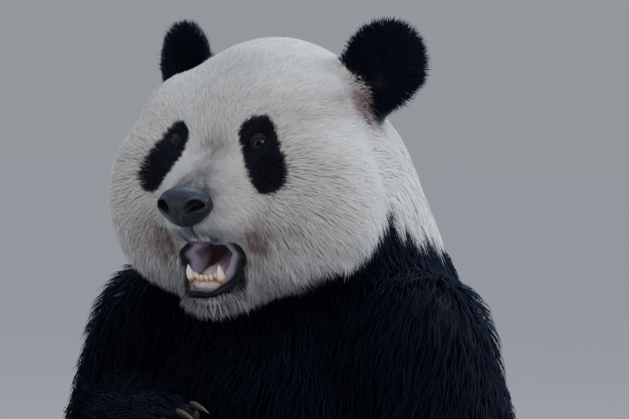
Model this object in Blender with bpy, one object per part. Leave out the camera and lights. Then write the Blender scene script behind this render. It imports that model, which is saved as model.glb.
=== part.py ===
"""A giant panda, life size, sitting upright with its mouth open and its forepaws held before its chest.

The animal faces -Y, its left side is +X and +Z is up. Every solid is the outer form of one part of the
body, out to the tips of the coat. The forms are built from masses, which are ellipsoids with named sizes.
Masses of one form are fused into a single smooth skin. The forms are then parted with thin cuts, so that
head, jaw, neck, trunk, limbs and paws are solids of their own that meet face to face.
"""

import math

import bmesh
import bpy
from mathutils import Euler, Matrix, Vector
from mathutils.bvhtree import BVHTree

# ---------------------------------------------------------------- driving sizes, in metres

EYE_LINE = Vector((0.0, -0.200, 0.840))  # the point midway between the eyes
HEAD_TILT = math.radians(0.0)  # nose up is positive
GAP = 0.0004  # clearance between solids that touch
CUT = 0.0008  # thickness of a parting cut
SLAB = 2.0  # side of the block that stands for the floor

EYE_RADIUS = 0.0125
EYE_PLACE = (0.0560, 0.0095, 0.0010)  # the left eyeball's centre, from the eye line
NOSE_PLACE = (0.0, -0.0620, -0.0670)
NOSE_RADII = (0.0355, 0.0180, 0.0214)
EAR_PLACE = (0.1415, 0.1480, 0.0950)
EAR_RADII = (0.0535, 0.0175, 0.0560)
EAR_OUTWARD = math.radians(24)  # how far each ear's face is turned away from straight ahead

HEAD = Matrix.Translation(EYE_LINE) @ Matrix.Rotation(-HEAD_TILT, 4, "X")
WORLD = Matrix.Identity(4)

# ---------------------------------------------------------------- materials

COAT_WHITE = ("coat_white", (0.72, 0.70, 0.66), 0.85)
COAT_BLACK = ("coat_black", (0.018, 0.018, 0.024), 0.80)
LEATHER = ("nose_leather", (0.025, 0.025, 0.030), 0.35)
EYE = ("eye", (0.020, 0.012, 0.008), 0.08)
CLAW = ("claw", (0.070, 0.055, 0.045), 0.40)
GUM = ("gum", (0.42, 0.22, 0.24), 0.35)
TONGUE = ("tongue", (0.50, 0.26, 0.30), 0.45)


def material(spec):
    name, colour, roughness = spec
    found = bpy.data.materials.get(name)
    if found:
        return found
    made = bpy.data.materials.new(name)
    made.use_nodes = True
    shader = made.node_tree.nodes["Principled BSDF"]
    shader.inputs["Base Color"].default_value = (*colour, 1.0)
    shader.inputs["Roughness"].default_value = roughness
    shader.inputs["Metallic"].default_value = 0.0
    return made


# ---------------------------------------------------------------- masses


def mirrored(point):
    return (-point[0], point[1], point[2])


class Form:
    """A mesh in the making: masses are added one by one and fused at the end."""

    def __init__(self, frame=WORLD):
        self.mesh = bmesh.new()
        self.frame = frame

    def mass(self, centre, radii, turn=(0, 0, 0)):
        """One ellipsoid. turn is in degrees about X, Y and Z."""
        angles = Euler([math.radians(a) for a in turn]).to_matrix().to_4x4()
        place = self.frame @ Matrix.Translation(centre) @ angles @ Matrix.Diagonal((*radii, 1))
        bmesh.ops.create_icosphere(self.mesh, subdivisions=3, radius=1, matrix=place)

    def pair(self, centre, radii, turn=(0, 0, 0)):
        """The same mass on the left and on the right."""
        self.mass(centre, radii, turn)
        self.mass(mirrored(centre), radii, (turn[0], -turn[1], -turn[2]))

    def sweep(self, stations, steps=7):
        """Masses along a path. Each station is (centre, radii); sizes change evenly between two."""
        for (start, start_radii), (end, end_radii) in zip(stations, stations[1:]):
            for i in range(steps + 1):
                share = i / steps
                centre = Vector(start).lerp(Vector(end), share)
                radii = Vector(start_radii).lerp(Vector(end_radii), share)
                self.mass(centre, radii)

    def limb(self, stations, steps=7):
        """A sweep of round masses: each station is (centre, radius)."""
        self.sweep([(centre, (r, r, r)) for centre, r in stations], steps)

    def add(self, mesh):
        self.mesh.from_mesh(mesh)

    def fused(self, name, voxel, relax):
        """The masses as one skin: remeshed at the voxel size and relaxed that many times."""
        data = bpy.data.meshes.new(name)
        self.mesh.to_mesh(data)
        self.mesh.free()
        obj = new_object(name, data)
        remesh = obj.modifiers.new("fuse", "REMESH")
        remesh.mode = "VOXEL"
        remesh.voxel_size = voxel
        smooth = obj.modifiers.new("relax", "SMOOTH")
        smooth.factor = 0.5
        smooth.iterations = relax
        return apply_all(obj)


# ---------------------------------------------------------------- objects


def new_object(name, data):
    obj = bpy.data.objects.new(name, data)
    bpy.context.scene.collection.objects.link(obj)
    return obj


def apply_all(obj):
    """Makes the object's modifiers part of its mesh."""
    bpy.context.view_layer.update()
    graph = bpy.context.evaluated_depsgraph_get()
    data = bpy.data.meshes.new_from_object(obj.evaluated_get(graph))
    data.name = obj.name
    obj.modifiers.clear()
    obj.data = data
    return obj


def remove(*objects):
    for obj in objects:
        bpy.data.objects.remove(obj)


def boolean(obj, operation, *others, solver="EXACT"):
    for other in others:
        step = obj.modifiers.new(operation.lower(), "BOOLEAN")
        step.operation = operation
        step.solver = solver
        step.object = other
        apply_all(obj)
    return obj


def grown(obj, distance=GAP):
    """A copy of the object that is larger by the distance on every side, for cutting a neighbour."""
    copy = new_object(obj.name + "_grown", obj.data.copy())
    swell = copy.modifiers.new("swell", "DISPLACE")
    swell.mid_level = 0.0
    swell.strength = distance
    return apply_all(copy)


def thinned(obj, triangles, focus=None):
    """Fewer triangles, for the faceted solid. Vertices that pass the test in focus stay."""
    count = sum(len(p.vertices) - 2 for p in obj.data.polygons)
    thin = obj.modifiers.new("thin", "DECIMATE")
    thin.ratio = min(1.0, triangles / count)
    thin.use_collapse_triangulate = True
    if focus:
        group = obj.vertex_groups.new(name="plain")
        for v in obj.data.vertices:
            group.add([v.index], 0.0 if focus(v.co) else 1.0, "REPLACE")
        thin.vertex_group = group.name
        thin.vertex_group_factor = 1.0
    apply_all(obj)
    obj.vertex_groups.clear()
    return obj


def block(name, centre, size, turn=None):
    """A box with these sides. Its own Z is the direction named by turn."""
    bm = bmesh.new()
    bmesh.ops.create_cube(bm, size=1.0, matrix=Matrix.Diagonal((*size, 1)))
    data = bpy.data.meshes.new(name)
    bm.to_mesh(data)
    bm.free()
    obj = new_object(name, data)
    if turn is not None:
        obj.rotation_mode = "QUATERNION"
        obj.rotation_quaternion = Vector(turn).to_track_quat("Z", "Y")
    obj.location = centre
    return obj


def disc(centre, normal, radius):
    """A thin round cutter. It parts whatever it spans."""
    bm = bmesh.new()
    bmesh.ops.create_cone(
        bm, cap_ends=True, cap_tris=False, segments=32, radius1=radius, radius2=radius, depth=CUT
    )
    data = bpy.data.meshes.new("cut")
    bm.to_mesh(data)
    bm.free()
    obj = new_object("cut", data)
    obj.rotation_mode = "QUATERNION"
    obj.rotation_quaternion = Vector(normal).to_track_quat("Z", "Y")
    obj.location = centre
    bpy.context.view_layer.update()
    return obj


def loose_parts(obj):
    """The separate bodies of one mesh, each as an object, largest first. The object itself is removed."""
    bm = bmesh.new()
    bm.from_mesh(obj.data)
    bm.verts.ensure_lookup_table()
    unseen = set(bm.verts)
    groups = []
    while unseen:
        front = [unseen.pop()]
        group = set(front)
        while front:
            for edge in front.pop().link_edges:
                for v in edge.verts:
                    if v in unseen:
                        unseen.discard(v)
                        group.add(v)
                        front.append(v)
        groups.append({v.index for v in group})
    bm.free()
    parts = []
    for group in sorted(groups, key=len, reverse=True):
        piece = bmesh.new()
        piece.from_mesh(obj.data)
        piece.verts.ensure_lookup_table()
        outside = [v for v in piece.verts if v.index not in group]
        bmesh.ops.delete(piece, geom=outside, context="VERTS")
        data = bpy.data.meshes.new(obj.name)
        piece.to_mesh(data)
        piece.free()
        parts.append(new_object(obj.name + "_part", data))
    remove(obj)
    return parts


def holds(obj, point):
    """Whether the point is inside the closed mesh, by how often a line from it crosses."""
    tree = BVHTree.FromObject(obj, bpy.context.evaluated_depsgraph_get())
    start, along, crossings = Vector(point), Vector((0.31, 0.17, 0.93)).normalized(), 0
    while True:
        hit = tree.ray_cast(start, along)[0]
        if hit is None:
            return crossings % 2 == 1
        crossings += 1
        start = hit + along * 1e-6


def parted(obj, cutters, names):
    """Cuts the object with the thin cutters. Each named body is the one that holds its seed point."""
    boolean(obj, "DIFFERENCE", *cutters)
    remove(*cutters)
    parts = loose_parts(obj)
    bpy.context.view_layer.update()
    made = {}
    for name, seed in names.items():
        part = next(p for p in parts if holds(p, seed))
        parts.remove(part)
        part.name = name
        part.data.name = name
        made[name] = part
    remove(*parts)
    return made


def finish(obj, spec):
    """Gives a solid its material and its shading."""
    obj.data.materials.clear()
    obj.data.materials.append(material(spec))
    obj.data.shade_smooth()
    obj.data.set_sharp_from_angle(angle=math.radians(50))


def floor_block():
    return block("floor_cut", (0, 0, -SLAB / 2), (SLAB, SLAB, SLAB))


def stood_on_floor(obj):
    """Cuts the form off at the floor, which leaves small flats where it rests."""
    floor = floor_block()
    boolean(obj, "DIFFERENCE", floor)
    remove(floor)
    return obj


# ---------------------------------------------------------------- head, neck and trunk


def head_masses():
    form = Form(HEAD)
    # crown and brow
    form.mass((0, 0.128, 0.018), (0.124, 0.118, 0.113))
    form.mass((0, 0.094, 0.008), (0.128, 0.100, 0.098))
    form.pair((0.034, 0.046, 0.010), (0.046, 0.050, 0.046))
    form.pair((0.084, 0.078, 0.030), (0.060, 0.070, 0.060))
    # cheeks, which hold the great chewing muscles
    form.pair((0.086, 0.062, -0.065), (0.098, 0.086, 0.103))
    form.pair((0.072, 0.060, -0.118), (0.068, 0.076, 0.064))
    form.pair((0.062, 0.040, -0.048), (0.042, 0.048, 0.046))
    # muzzle: deep at the face, narrower at the nose
    form.sweep(
        [
            ((0, 0.044, -0.044), (0.074, 0.050, 0.056)),
            ((0, -0.002, -0.059), (0.060, 0.034, 0.048)),
            ((0, -0.032, -0.068), (0.045, 0.028, 0.037)),
        ]
    )
    form.pair((0.025, -0.024, -0.086), (0.026, 0.032, 0.023))
    return form


def jaw_masses(form):
    """The lower jaw, dropped open, and the fluff under it."""
    form.sweep(
        [
            ((0, 0.082, -0.128), (0.084, 0.050, 0.056)),
            ((0, 0.030, -0.160), (0.066, 0.040, 0.038)),
            ((0, -0.002, -0.177), (0.046, 0.028, 0.023)),
            ((0, -0.018, -0.181), (0.034, 0.022, 0.018)),
        ]
    )
    return form


def mouth_cavity():
    """The open mouth: a wedge that is wide at the lips and ends at the throat."""
    form = Form(HEAD)
    form.sweep(
        [
            ((0, -0.110, -0.150), (0.110, 0.030, 0.040)),
            ((0, -0.055, -0.139), (0.084, 0.020, 0.028)),
            ((0, -0.021, -0.133), (0.043, 0.020, 0.025)),
            ((0, 0.040, -0.119), (0.037, 0.026, 0.012)),
        ]
    )
    return form.fused("mouth_cavity", 0.005, 3)


def trunk_masses():
    form = Form()
    form.sweep(
        [
            ((0, 0.055, 0.210), (0.285, 0.250, 0.222)),  # rump
            ((0, 0.035, 0.390), (0.262, 0.215, 0.200)),  # ribs
            ((0, 0.024, 0.520), (0.228, 0.188, 0.150)),
            ((0, 0.020, 0.620), (0.190, 0.162, 0.120)),  # withers
        ]
    )
    form.mass((0, -0.045, 0.265), (0.285, 0.235, 0.235))  # belly
    form.mass((0, -0.012, 0.480), (0.232, 0.190, 0.190))  # chest
    form.pair((0.115, 0.010, 0.575), (0.110, 0.115, 0.125))  # shoulders
    return form


def neck_masses(form):
    form.sweep(
        [
            ((0, 0.018, 0.660), (0.190, 0.150, 0.110)),
            ((0, -0.022, 0.760), (0.166, 0.138, 0.105)),
            ((0, -0.035, 0.825), (0.144, 0.128, 0.100)),
        ]
    )
    return form


def core_form():
    """Head, neck and trunk as one skin."""
    trunk = neck_masses(trunk_masses()).fused("trunk_form", 0.010, 22)
    head = jaw_masses(head_masses()).fused("head_form", 0.006, 9)
    both = Form()
    both.add(trunk.data)
    both.add(head.data)
    remove(trunk, head)
    return both.fused("core", 0.007, 5)


# ---------------------------------------------------------------- limbs, ears and tail


def paw_masses(form, toe_spread, toe_radii, toe_reach):
    """Palm and five toes in the paw's own frame: +Y points to the toes and +Z is the back of the paw."""
    form.mass((0, 0.040, 0), (0.064, 0.068, 0.041))
    form.mass((0, 0.078, -0.003), (0.067, 0.042, 0.034))
    for toe in toes(toe_spread, toe_reach):
        form.mass(toe, toe_radii)


def toes(spread, reach):
    """Where the five toes are, in the paw's frame. The middle one reaches furthest."""
    return [Vector((spread * i, reach - 0.0032 * i * i, -0.004 - 0.0012 * i * i)) for i in range(-2, 3)]


def paw_frame(wrist, towards, back):
    """The frame at a wrist: Y to the toes, Z to the back of the paw."""
    y = Vector(towards).normalized()
    x = y.cross(Vector(back)).normalized()
    z = x.cross(y)
    turn = Matrix((x, y, z)).transposed().to_4x4()
    return Matrix.Translation(wrist) @ turn


FORE_TOES = dict(spread=0.0245, reach=0.109)
HIND_TOES = dict(spread=0.0250, reach=0.122)
TOE_RADII = (0.0180, 0.0280, 0.0210)

ARMS = {
    "left": dict(
        side=1,
        shoulder=(0.164, -0.042, 0.605),
        elbow=(0.242, -0.040, 0.385),
        wrist=(0.132, -0.250, 0.430),
        towards=(-0.72, -0.55, 0.10),
        back=(0.10, -0.45, 0.85),
    ),
    "right": dict(
        side=-1,
        shoulder=(-0.164, -0.042, 0.605),
        elbow=(-0.240, -0.050, 0.405),
        wrist=(-0.105, -0.252, 0.505),
        towards=(0.80, -0.45, 0.15),
        back=(-0.10, -0.45, 0.85),
    ),
}

LEGS = {"left": 1, "right": -1}
HIP = (0.150, 0.040, 0.150)
KNEE = (0.280, -0.215, 0.188)
ANKLE = (0.260, -0.428, 0.065)
SOLE_TOWARDS = (0.16, -0.42, 0.90)  # from the heel to the toes of the left foot
SOLE_BACK = (0.05, 0.90, 0.42)  # the back of the left foot, which the shin meets


def arm_form(name, arm):
    form = Form()
    shoulder, elbow, wrist = (Vector(arm[k]) for k in ("shoulder", "elbow", "wrist"))
    form.limb([(shoulder, 0.105), (shoulder.lerp(elbow, 0.45), 0.100), (elbow, 0.084)])
    form.limb([(elbow, 0.082), (elbow.lerp(wrist, 0.40), 0.082), (wrist, 0.062)])
    upper = form.fused(name, 0.009, 10)
    paw = Form(paw_frame(wrist, arm["towards"], arm["back"]))
    paw_masses(paw, FORE_TOES["spread"], TOE_RADII, FORE_TOES["reach"])
    hand = paw.fused(name + "_paw", 0.005, 4)
    return joined(name, upper, hand)


def leg_points(side):
    return [Vector((side * p[0], p[1], p[2])) for p in (HIP, KNEE, ANKLE)]


def foot_frame(side):
    heel = Vector((side * ANKLE[0], ANKLE[1], ANKLE[2]))
    towards = (side * SOLE_TOWARDS[0], SOLE_TOWARDS[1], SOLE_TOWARDS[2])
    back = (side * SOLE_BACK[0], SOLE_BACK[1], SOLE_BACK[2])
    return paw_frame(heel, towards, back)


def leg_form(name, side):
    form = Form()
    hip, knee, ankle = leg_points(side)
    form.limb([(hip, 0.160), (hip.lerp(knee, 0.50), 0.142), (knee, 0.108)])
    form.limb([(knee, 0.108), (knee.lerp(ankle, 0.45), 0.094), (ankle, 0.074)])
    upper = form.fused(name, 0.010, 12)
    foot = Form(foot_frame(side))
    foot.mass((0, -0.012, -0.012), (0.058, 0.055, 0.052))  # heel
    foot.mass((0, 0.042, -0.006), (0.062, 0.075, 0.041))
    foot.mass((0, 0.088, -0.004), (0.069, 0.045, 0.036))
    for toe in toes(**HIND_TOES):
        foot.mass(toe, TOE_RADII)
    sole = foot.fused(name + "_foot", 0.005, 4)
    return joined(name, upper, sole)


def joined(name, *pieces):
    """Fuses finished pieces of one limb."""
    both = Form()
    for piece in pieces:
        both.add(piece.data)
    remove(*pieces)
    return both.fused(name, 0.006, 4)


def ear_form(name, side):
    """A round ear whose face is turned outwards and lightly cupped."""
    x, y, z = EAR_PLACE
    turn = Matrix.Rotation(EAR_OUTWARD * side, 4, "Z")
    place = HEAD @ Matrix.Translation((side * x, y, z)) @ turn
    form = Form(place)
    form.mass((0, 0, 0), EAR_RADII)
    form.mass((-0.020 * side, 0.006, -0.040), (0.034, 0.018, 0.034))
    ear = form.fused(name, 0.005, 4)
    cup = Form(place)
    cup.mass((0, -0.030, 0.004), (0.036, 0.022, 0.038))
    hollow = cup.fused(name + "_cup", 0.005, 1)
    boolean(ear, "DIFFERENCE", hollow)
    remove(hollow)
    return ear


def tail_form():
    form = Form()
    form.sweep(
        [
            ((0, 0.255, 0.095), (0.060, 0.050, 0.055)),
            ((0, 0.305, 0.060), (0.056, 0.046, 0.046)),
            ((0, 0.340, 0.040), (0.044, 0.036, 0.036)),
        ]
    )
    return form.fused("tail", 0.006, 4)


# ---------------------------------------------------------------- eyes, nose, mouth and claws


def ball(name, centre, radii, rings=10, frame=WORLD):
    """An ellipsoid with clean rings, for an eyeball or the nose."""
    bm = bmesh.new()
    place = frame @ Matrix.Translation(centre) @ Matrix.Diagonal((*radii, 1))
    bmesh.ops.create_uvsphere(bm, u_segments=2 * rings, v_segments=rings, radius=1, matrix=place)
    data = bpy.data.meshes.new(name)
    bm.to_mesh(data)
    bm.free()
    return new_object(name, data)


def eye(side):
    x, y, z = EYE_PLACE
    name = "eye_left" if side > 0 else "eye_right"
    return ball(name, (side * x, y, z), (EYE_RADIUS,) * 3, rings=5, frame=HEAD)


def nose():
    """The leathery pad: broad and flat on top, narrower at the lip, with two nostrils open to the side."""
    form = Form(HEAD)
    x, y, z = NOSE_PLACE
    form.mass((x, y, z), NOSE_RADII)
    form.mass((x, y - 0.003, z + 0.008), (0.030, 0.016, 0.012))
    form.mass((x, y - 0.002, z - 0.014), (0.016, 0.014, 0.012))
    pad = form.fused("nose", 0.0030, 4)
    for side in (1, -1):
        hole = Form(HEAD)
        hole.mass((side * 0.0185, y - 0.018, z - 0.002), (0.0095, 0.0120, 0.0070), (0, 0, 25 * side))
        nostril = hole.fused("nostril", 0.002, 1)
        boolean(pad, "DIFFERENCE", nostril)
        remove(nostril)
    return thinned(pad, 190)


JAW_RISE = math.radians(30)  # how steeply the open lower jaw rises towards its hinge
GUM_BACK = 0.034  # half the width between the rows of cheek teeth
GUM_LENGTH = 0.062


def jaw_frame():
    """The lower jaw's own frame: the origin is on its midline at the front teeth, +Y runs back along it."""
    return HEAD @ Matrix.Translation((0, -0.020, -0.160)) @ Matrix.Rotation(JAW_RISE, 4, "X")


def upper_frame():
    """The upper jaw's frame: the origin is at the front teeth and +Z points to the palate."""
    return HEAD @ Matrix.Translation((0, -0.036, -0.097))


def tooth_row(name, frame, up, half_width, length):
    """A horseshoe of gum with its teeth: six front teeth, two fangs and four cheek teeth on each side."""
    form = Form(frame)
    steps = 15
    for i in range(steps + 1):
        angle = math.pi * i / steps
        x = half_width * math.cos(angle)
        y = length * (1 - math.sin(angle) ** 0.7)
        form.mass((x, y, -0.004 * up), (0.0085, 0.0090, 0.0080))
    for side in (1, -1):
        for i in range(3):
            x = side * (0.0030 + 0.0056 * i)
            form.mass((x, 0.0010 + 0.0012 * i * i, 0.004 * up), (0.0032, 0.0032, 0.0072))
        form.limb(
            [
                ((side * 0.0205, 0.006, 0.0), 0.0060),
                ((side * 0.0208, 0.004, 0.012 * up), 0.0045),
                ((side * 0.0210, 0.005, 0.021 * up), 0.0018),
            ],
            steps=5,
        )
        for i in range(4):
            form.mass(
                (side * (0.0285 + 0.0022 * i), 0.020 + 0.0125 * i, 0.003 * up),
                (0.0060, 0.0075, 0.0070),
            )
    return thinned(form.fused(name, 0.0022, 2), 230)


def tongue():
    form = Form(jaw_frame())
    form.sweep(
        [
            ((0, 0.085, 0.000), (0.024, 0.020, 0.012)),
            ((0, 0.045, -0.001), (0.022, 0.020, 0.010)),
            ((0, 0.014, -0.001), (0.016, 0.012, 0.007)),
        ]
    )
    return thinned(form.fused("tongue", 0.004, 4), 140)


def claw(name, frame, root, length, thickness, droop):
    """A curved claw: rings along an arc that shrink to the point."""
    rings, sides = 3, 5
    bm = bmesh.new()
    loops = []
    for i in range(rings):
        share = i / rings
        angle = droop * share
        centre = Vector((0, length * math.sin(angle) / droop, -length * (1 - math.cos(angle)) / droop))
        radius = thickness * (1 - share) ** 0.7
        across = Vector((0, math.sin(angle), math.cos(angle)))
        loop = []
        for k in range(sides):
            turn = 2 * math.pi * k / sides
            point = centre + Vector((0.7 * radius * math.cos(turn), 0, 0)) + across * radius * math.sin(turn)
            loop.append(bm.verts.new(point))
        loops.append(loop)
    point = Vector((0, length * math.sin(droop) / droop, -length * (1 - math.cos(droop)) / droop))
    tip = bm.verts.new(point)
    bm.faces.new(loops[0])
    for low, high in zip(loops, loops[1:]):
        for k in range(sides):
            n = (k + 1) % sides
            bm.faces.new((low[k], low[n], high[n], high[k]))
    for k in range(sides):
        bm.faces.new((loops[-1][k], loops[-1][(k + 1) % sides], tip))
    bmesh.ops.recalc_face_normals(bm, faces=bm.faces)
    bm.transform(frame @ Matrix.Translation(root))
    data = bpy.data.meshes.new(name)
    bm.to_mesh(data)
    bm.free()
    return new_object(name, data)


def claws_of(name, frame, places, length):
    return [
        claw(f"claw_{name}_{i + 1}", frame, toe + Vector((0, 0.019, 0.004)), length, 0.0066, math.radians(50))
        for i, toe in enumerate(places)
    ]


# ---------------------------------------------------------------- assembly


def build_core():
    """Head, jaw, neck, chest and abdomen as one body, with the open mouth cut into it."""
    core = core_form()
    near_face = HEAD @ Vector((0, -0.02, -0.06))
    thinned(core, 2700)
    thinned(core, 1380, lambda co: (co - near_face).length < 0.125)
    stood_on_floor(core)
    cavity = mouth_cavity()
    thinned(cavity, 150)
    boolean(core, "DIFFERENCE", cavity)
    remove(cavity)
    return core


def part_core(core):
    jaw_cut = block(
        "cut", HEAD @ Vector((0, 0.021, -0.133)), (0.44, 0.104, CUT), HEAD.to_3x3() @ Vector((0, 0.20, 1.0))
    )
    bpy.context.view_layer.update()
    cutters = [
        disc((0, -0.0525, 0.800), (0, 0.766, -0.643), 0.240),
        disc((0, -0.020, 0.7014), (0, 0.387, -0.922), 0.225),
        disc((0, 0.000, 0.520), (0, 0.265, -0.964), 0.300),
        jaw_cut,
    ]
    seeds = {
        "head": HEAD @ Vector((0, 0.050, 0.000)),
        "lower_jaw": HEAD @ Vector((0, 0.030, -0.160)),
        "neck": (0, 0.000, 0.740),
        "chest": (0, 0.000, 0.600),
        "abdomen": (0, 0.020, 0.350),
    }
    return parted(core, cutters, seeds)


def build_limb(form, core, cuts, seeds):
    """Takes the core out of a limb's form and parts what is left at its joints."""
    solid = grown(core)
    boolean(form, "DIFFERENCE", solid)
    remove(solid)
    return parted(form, [disc(*cut) for cut in cuts], seeds)


def let_in(paw, claws):
    """Lets each claw into its paw: the paw gives way by the usual gap."""
    for one in claws:
        cutter = grown(one)
        boolean(paw, "DIFFERENCE", cutter)
        remove(cutter)


def centre_on_floor(objects):
    """Moves the model so that the origin is below the middle of its box, on the floor."""
    corners = [v.co for obj in objects for v in obj.data.vertices]
    low = Vector([min(c[i] for c in corners) for i in range(3)])
    high = Vector([max(c[i] for c in corners) for i in range(3)])
    shift = Vector((-(low.x + high.x) / 2, -(low.y + high.y) / 2, -low.z))
    for obj in objects:
        obj.data.transform(Matrix.Translation(shift))


def main():
    for obj in list(bpy.data.objects):
        bpy.data.objects.remove(obj)

    core = build_core()
    whites, blacks, claws = [], [], []

    for name, arm in ARMS.items():
        shoulder, elbow, wrist = (Vector(arm[k]) for k in ("shoulder", "elbow", "wrist"))
        form = thinned(arm_form(f"arm_{name}", arm), 410)
        frame = paw_frame(wrist, arm["towards"], arm["back"])
        up, along = (shoulder - elbow).normalized(), (wrist - elbow).normalized()
        cuts = [
            (elbow + Vector((0, -0.004, 0.012)), along - up, 0.280),
            (wrist, Vector(arm["towards"]).normalized() + along, 0.095),
        ]
        seeds = {
            f"upper_arm_{name}": shoulder.lerp(elbow, 0.70) + Vector((0.070 * arm["side"], 0, 0)),
            f"forearm_{name}": elbow.lerp(wrist, 0.55),
            f"forepaw_{name}": frame @ Vector((0, 0.070, 0)),
        }
        parts = build_limb(form, core, cuts, seeds)
        nails = claws_of(f"forepaw_{name}", frame, toes(**FORE_TOES), 0.030)
        let_in(parts[f"forepaw_{name}"], nails)
        blacks += parts.values()
        claws += nails

    for name, side in LEGS.items():
        hip, knee, ankle = leg_points(side)
        form = stood_on_floor(thinned(leg_form(f"leg_{name}", side), 430))
        frame = foot_frame(side)
        cuts = [
            (knee, (ankle - knee).normalized() - (hip - knee).normalized(), 0.190),
            (ankle + Vector((0, 0.060, 0.024)), (ankle - knee).normalized(), 0.115),
        ]
        seeds = {
            f"thigh_{name}": hip.lerp(knee, 0.88),
            f"shank_{name}": knee.lerp(ankle, 0.5),
            f"hindpaw_{name}": frame @ Vector((0, 0.070, 0)),
        }
        parts = build_limb(form, core, cuts, seeds)
        nails = claws_of(f"hindpaw_{name}", frame, toes(**HIND_TOES), 0.028)
        let_in(parts[f"hindpaw_{name}"], nails)
        blacks += parts.values()
        claws += nails

    tail = stood_on_floor(thinned(tail_form(), 130))
    whites += build_limb(tail, core, [], {"tail": (0, 0.330, 0.045)}).values()

    for side, name in ((1, "ear_left"), (-1, "ear_right")):
        ear = thinned(ear_form(name, side), 140)
        x, y, z = EAR_PLACE
        blacks += build_limb(ear, core, [], {name: HEAD @ Vector((side * x, y, z))}).values()

    eyes = [eye(1), eye(-1)]
    pad = nose()
    gums = [
        tooth_row("lower_teeth", jaw_frame(), 1, GUM_BACK, GUM_LENGTH),
        tooth_row("upper_teeth", upper_frame(), -1, GUM_BACK, GUM_LENGTH),
    ]
    licker = tongue()
    for row in gums:
        cutter = grown(row)
        boolean(licker, "DIFFERENCE", cutter, solver="MANIFOLD")
        remove(cutter)

    tongue_body, *crumbs = loose_parts(licker)
    remove(*crumbs)
    licker = tongue_body
    licker.name = "tongue"

    parts = part_core(core)
    for obj in (*eyes, pad, *gums, licker):
        cutter = grown(obj)
        for name in ("head", "lower_jaw"):
            boolean(parts[name], "DIFFERENCE", cutter, solver="MANIFOLD")
        remove(cutter)
    blacks.append(parts.pop("chest"))
    whites += parts.values()

    for group, spec in (
        (whites, COAT_WHITE),
        (blacks, COAT_BLACK),
        (claws, CLAW),
        (eyes, EYE),
        ([pad], LEATHER),
        (gums, GUM),
        ([licker], TONGUE),
    ):
        for obj in group:
            finish(obj, spec)
    centre_on_floor([*whites, *blacks, *claws, *eyes, pad, *gums, licker])


main()
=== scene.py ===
"""A life-size giant panda, sitting upright with its mouth open."""
import math

import bmesh
import bpy
import numpy as np
from mathutils import Matrix, Vector
from mathutils.bvhtree import BVHTree


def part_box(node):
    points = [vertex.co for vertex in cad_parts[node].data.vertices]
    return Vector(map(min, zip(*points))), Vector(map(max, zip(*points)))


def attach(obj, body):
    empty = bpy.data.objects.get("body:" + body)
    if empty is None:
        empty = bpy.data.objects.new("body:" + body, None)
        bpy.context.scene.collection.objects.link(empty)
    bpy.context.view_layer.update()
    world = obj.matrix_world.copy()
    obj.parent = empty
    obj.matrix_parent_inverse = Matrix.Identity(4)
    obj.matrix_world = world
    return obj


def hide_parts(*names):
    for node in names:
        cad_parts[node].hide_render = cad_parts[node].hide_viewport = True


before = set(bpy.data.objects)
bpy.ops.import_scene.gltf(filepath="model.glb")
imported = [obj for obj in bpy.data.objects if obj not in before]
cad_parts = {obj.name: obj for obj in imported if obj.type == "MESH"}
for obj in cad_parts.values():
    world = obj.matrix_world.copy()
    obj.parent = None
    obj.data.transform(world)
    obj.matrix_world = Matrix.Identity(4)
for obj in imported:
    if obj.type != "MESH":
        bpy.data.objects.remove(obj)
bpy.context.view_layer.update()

SIDES = ("left", "right")
PAWS = ("forepaw", "hindpaw")
LIMBS = ("upper_arm", "forearm", "forepaw", "thigh", "shank", "hindpaw")
FLESH = ["head", "lower_jaw", "neck", "chest", "abdomen", "tail"]
FLESH += [f"ear_{s}" for s in SIDES]
FLESH += [f"{part}_{s}" for part in LIMBS for s in SIDES]
LABEL = {name: i for i, name in enumerate(FLESH)}


def node_box(name):
    low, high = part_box(name)
    return np.array(low), np.array(high)


def node_centre(name):
    low, high = node_box(name)
    return (low + high) / 2


def is_in(labels, *names):
    wanted = [i for n, i in LABEL.items() if any(n.startswith(w) for w in names)]
    return np.isin(labels, wanted)


EYES = {s: node_centre(f"eye_{s}") for s in SIDES}
EYE_MID = (EYES["left"] + EYES["right"]) / 2
HEAD = EYE_MID - np.array([0.0, 0.0095, 0.001])


# ---- helpers

def unit(v):
    v = np.asarray(v, float)
    return v / np.maximum(np.linalg.norm(v, axis=-1, keepdims=True), 1e-9)


def ease(x, low, high):
    """0 below the first limit, 1 above the second, smooth between them."""
    t = np.clip((x - low) / (high - low), 0.0, 1.0)
    return t * t * (3 - 2 * t)


def bell(x, width):
    return np.exp(-(x / width) ** 2)


def columns(*values):
    return np.stack(values, axis=1)


def square_level(p, centre, radii):
    """Below 1 inside an ellipsoid, 1 on its surface."""
    return (((p - np.asarray(centre)) / np.asarray(radii)) ** 2).sum(-1)


def bump(p, centre, radii):
    """1 at the centre of an ellipsoid, falling to 0 well outside it."""
    return np.exp(-square_level(p, centre, radii))


def bumps(p, spots):
    """Sum of several bumps, each with its share."""
    return sum(share * bump(p, centre, radii) for share, centre, radii in spots)


def mirrored(p):
    """Positions folded on to the animal's left side."""
    q = p.copy()
    q[:, 0] = np.abs(q[:, 0])
    return q


def ripple(p, scale, seed):
    """Smooth noise between about -1 and 1, from a few crossed waves."""
    rng = np.random.default_rng(seed)
    total = np.zeros(len(p))
    for octave, weight in ((1.0, 0.6), (1.9, 0.3), (3.7, 0.2)):
        for _ in range(4):
            way = unit(rng.normal(size=3)) * math.tau * octave / scale
            phase = p @ way + rng.uniform(0, 6.28) + 1.7 * np.sin(p @ np.roll(way, 1) * 0.6)
            total += weight * 0.5 * np.sin(phase)
    return total


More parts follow.
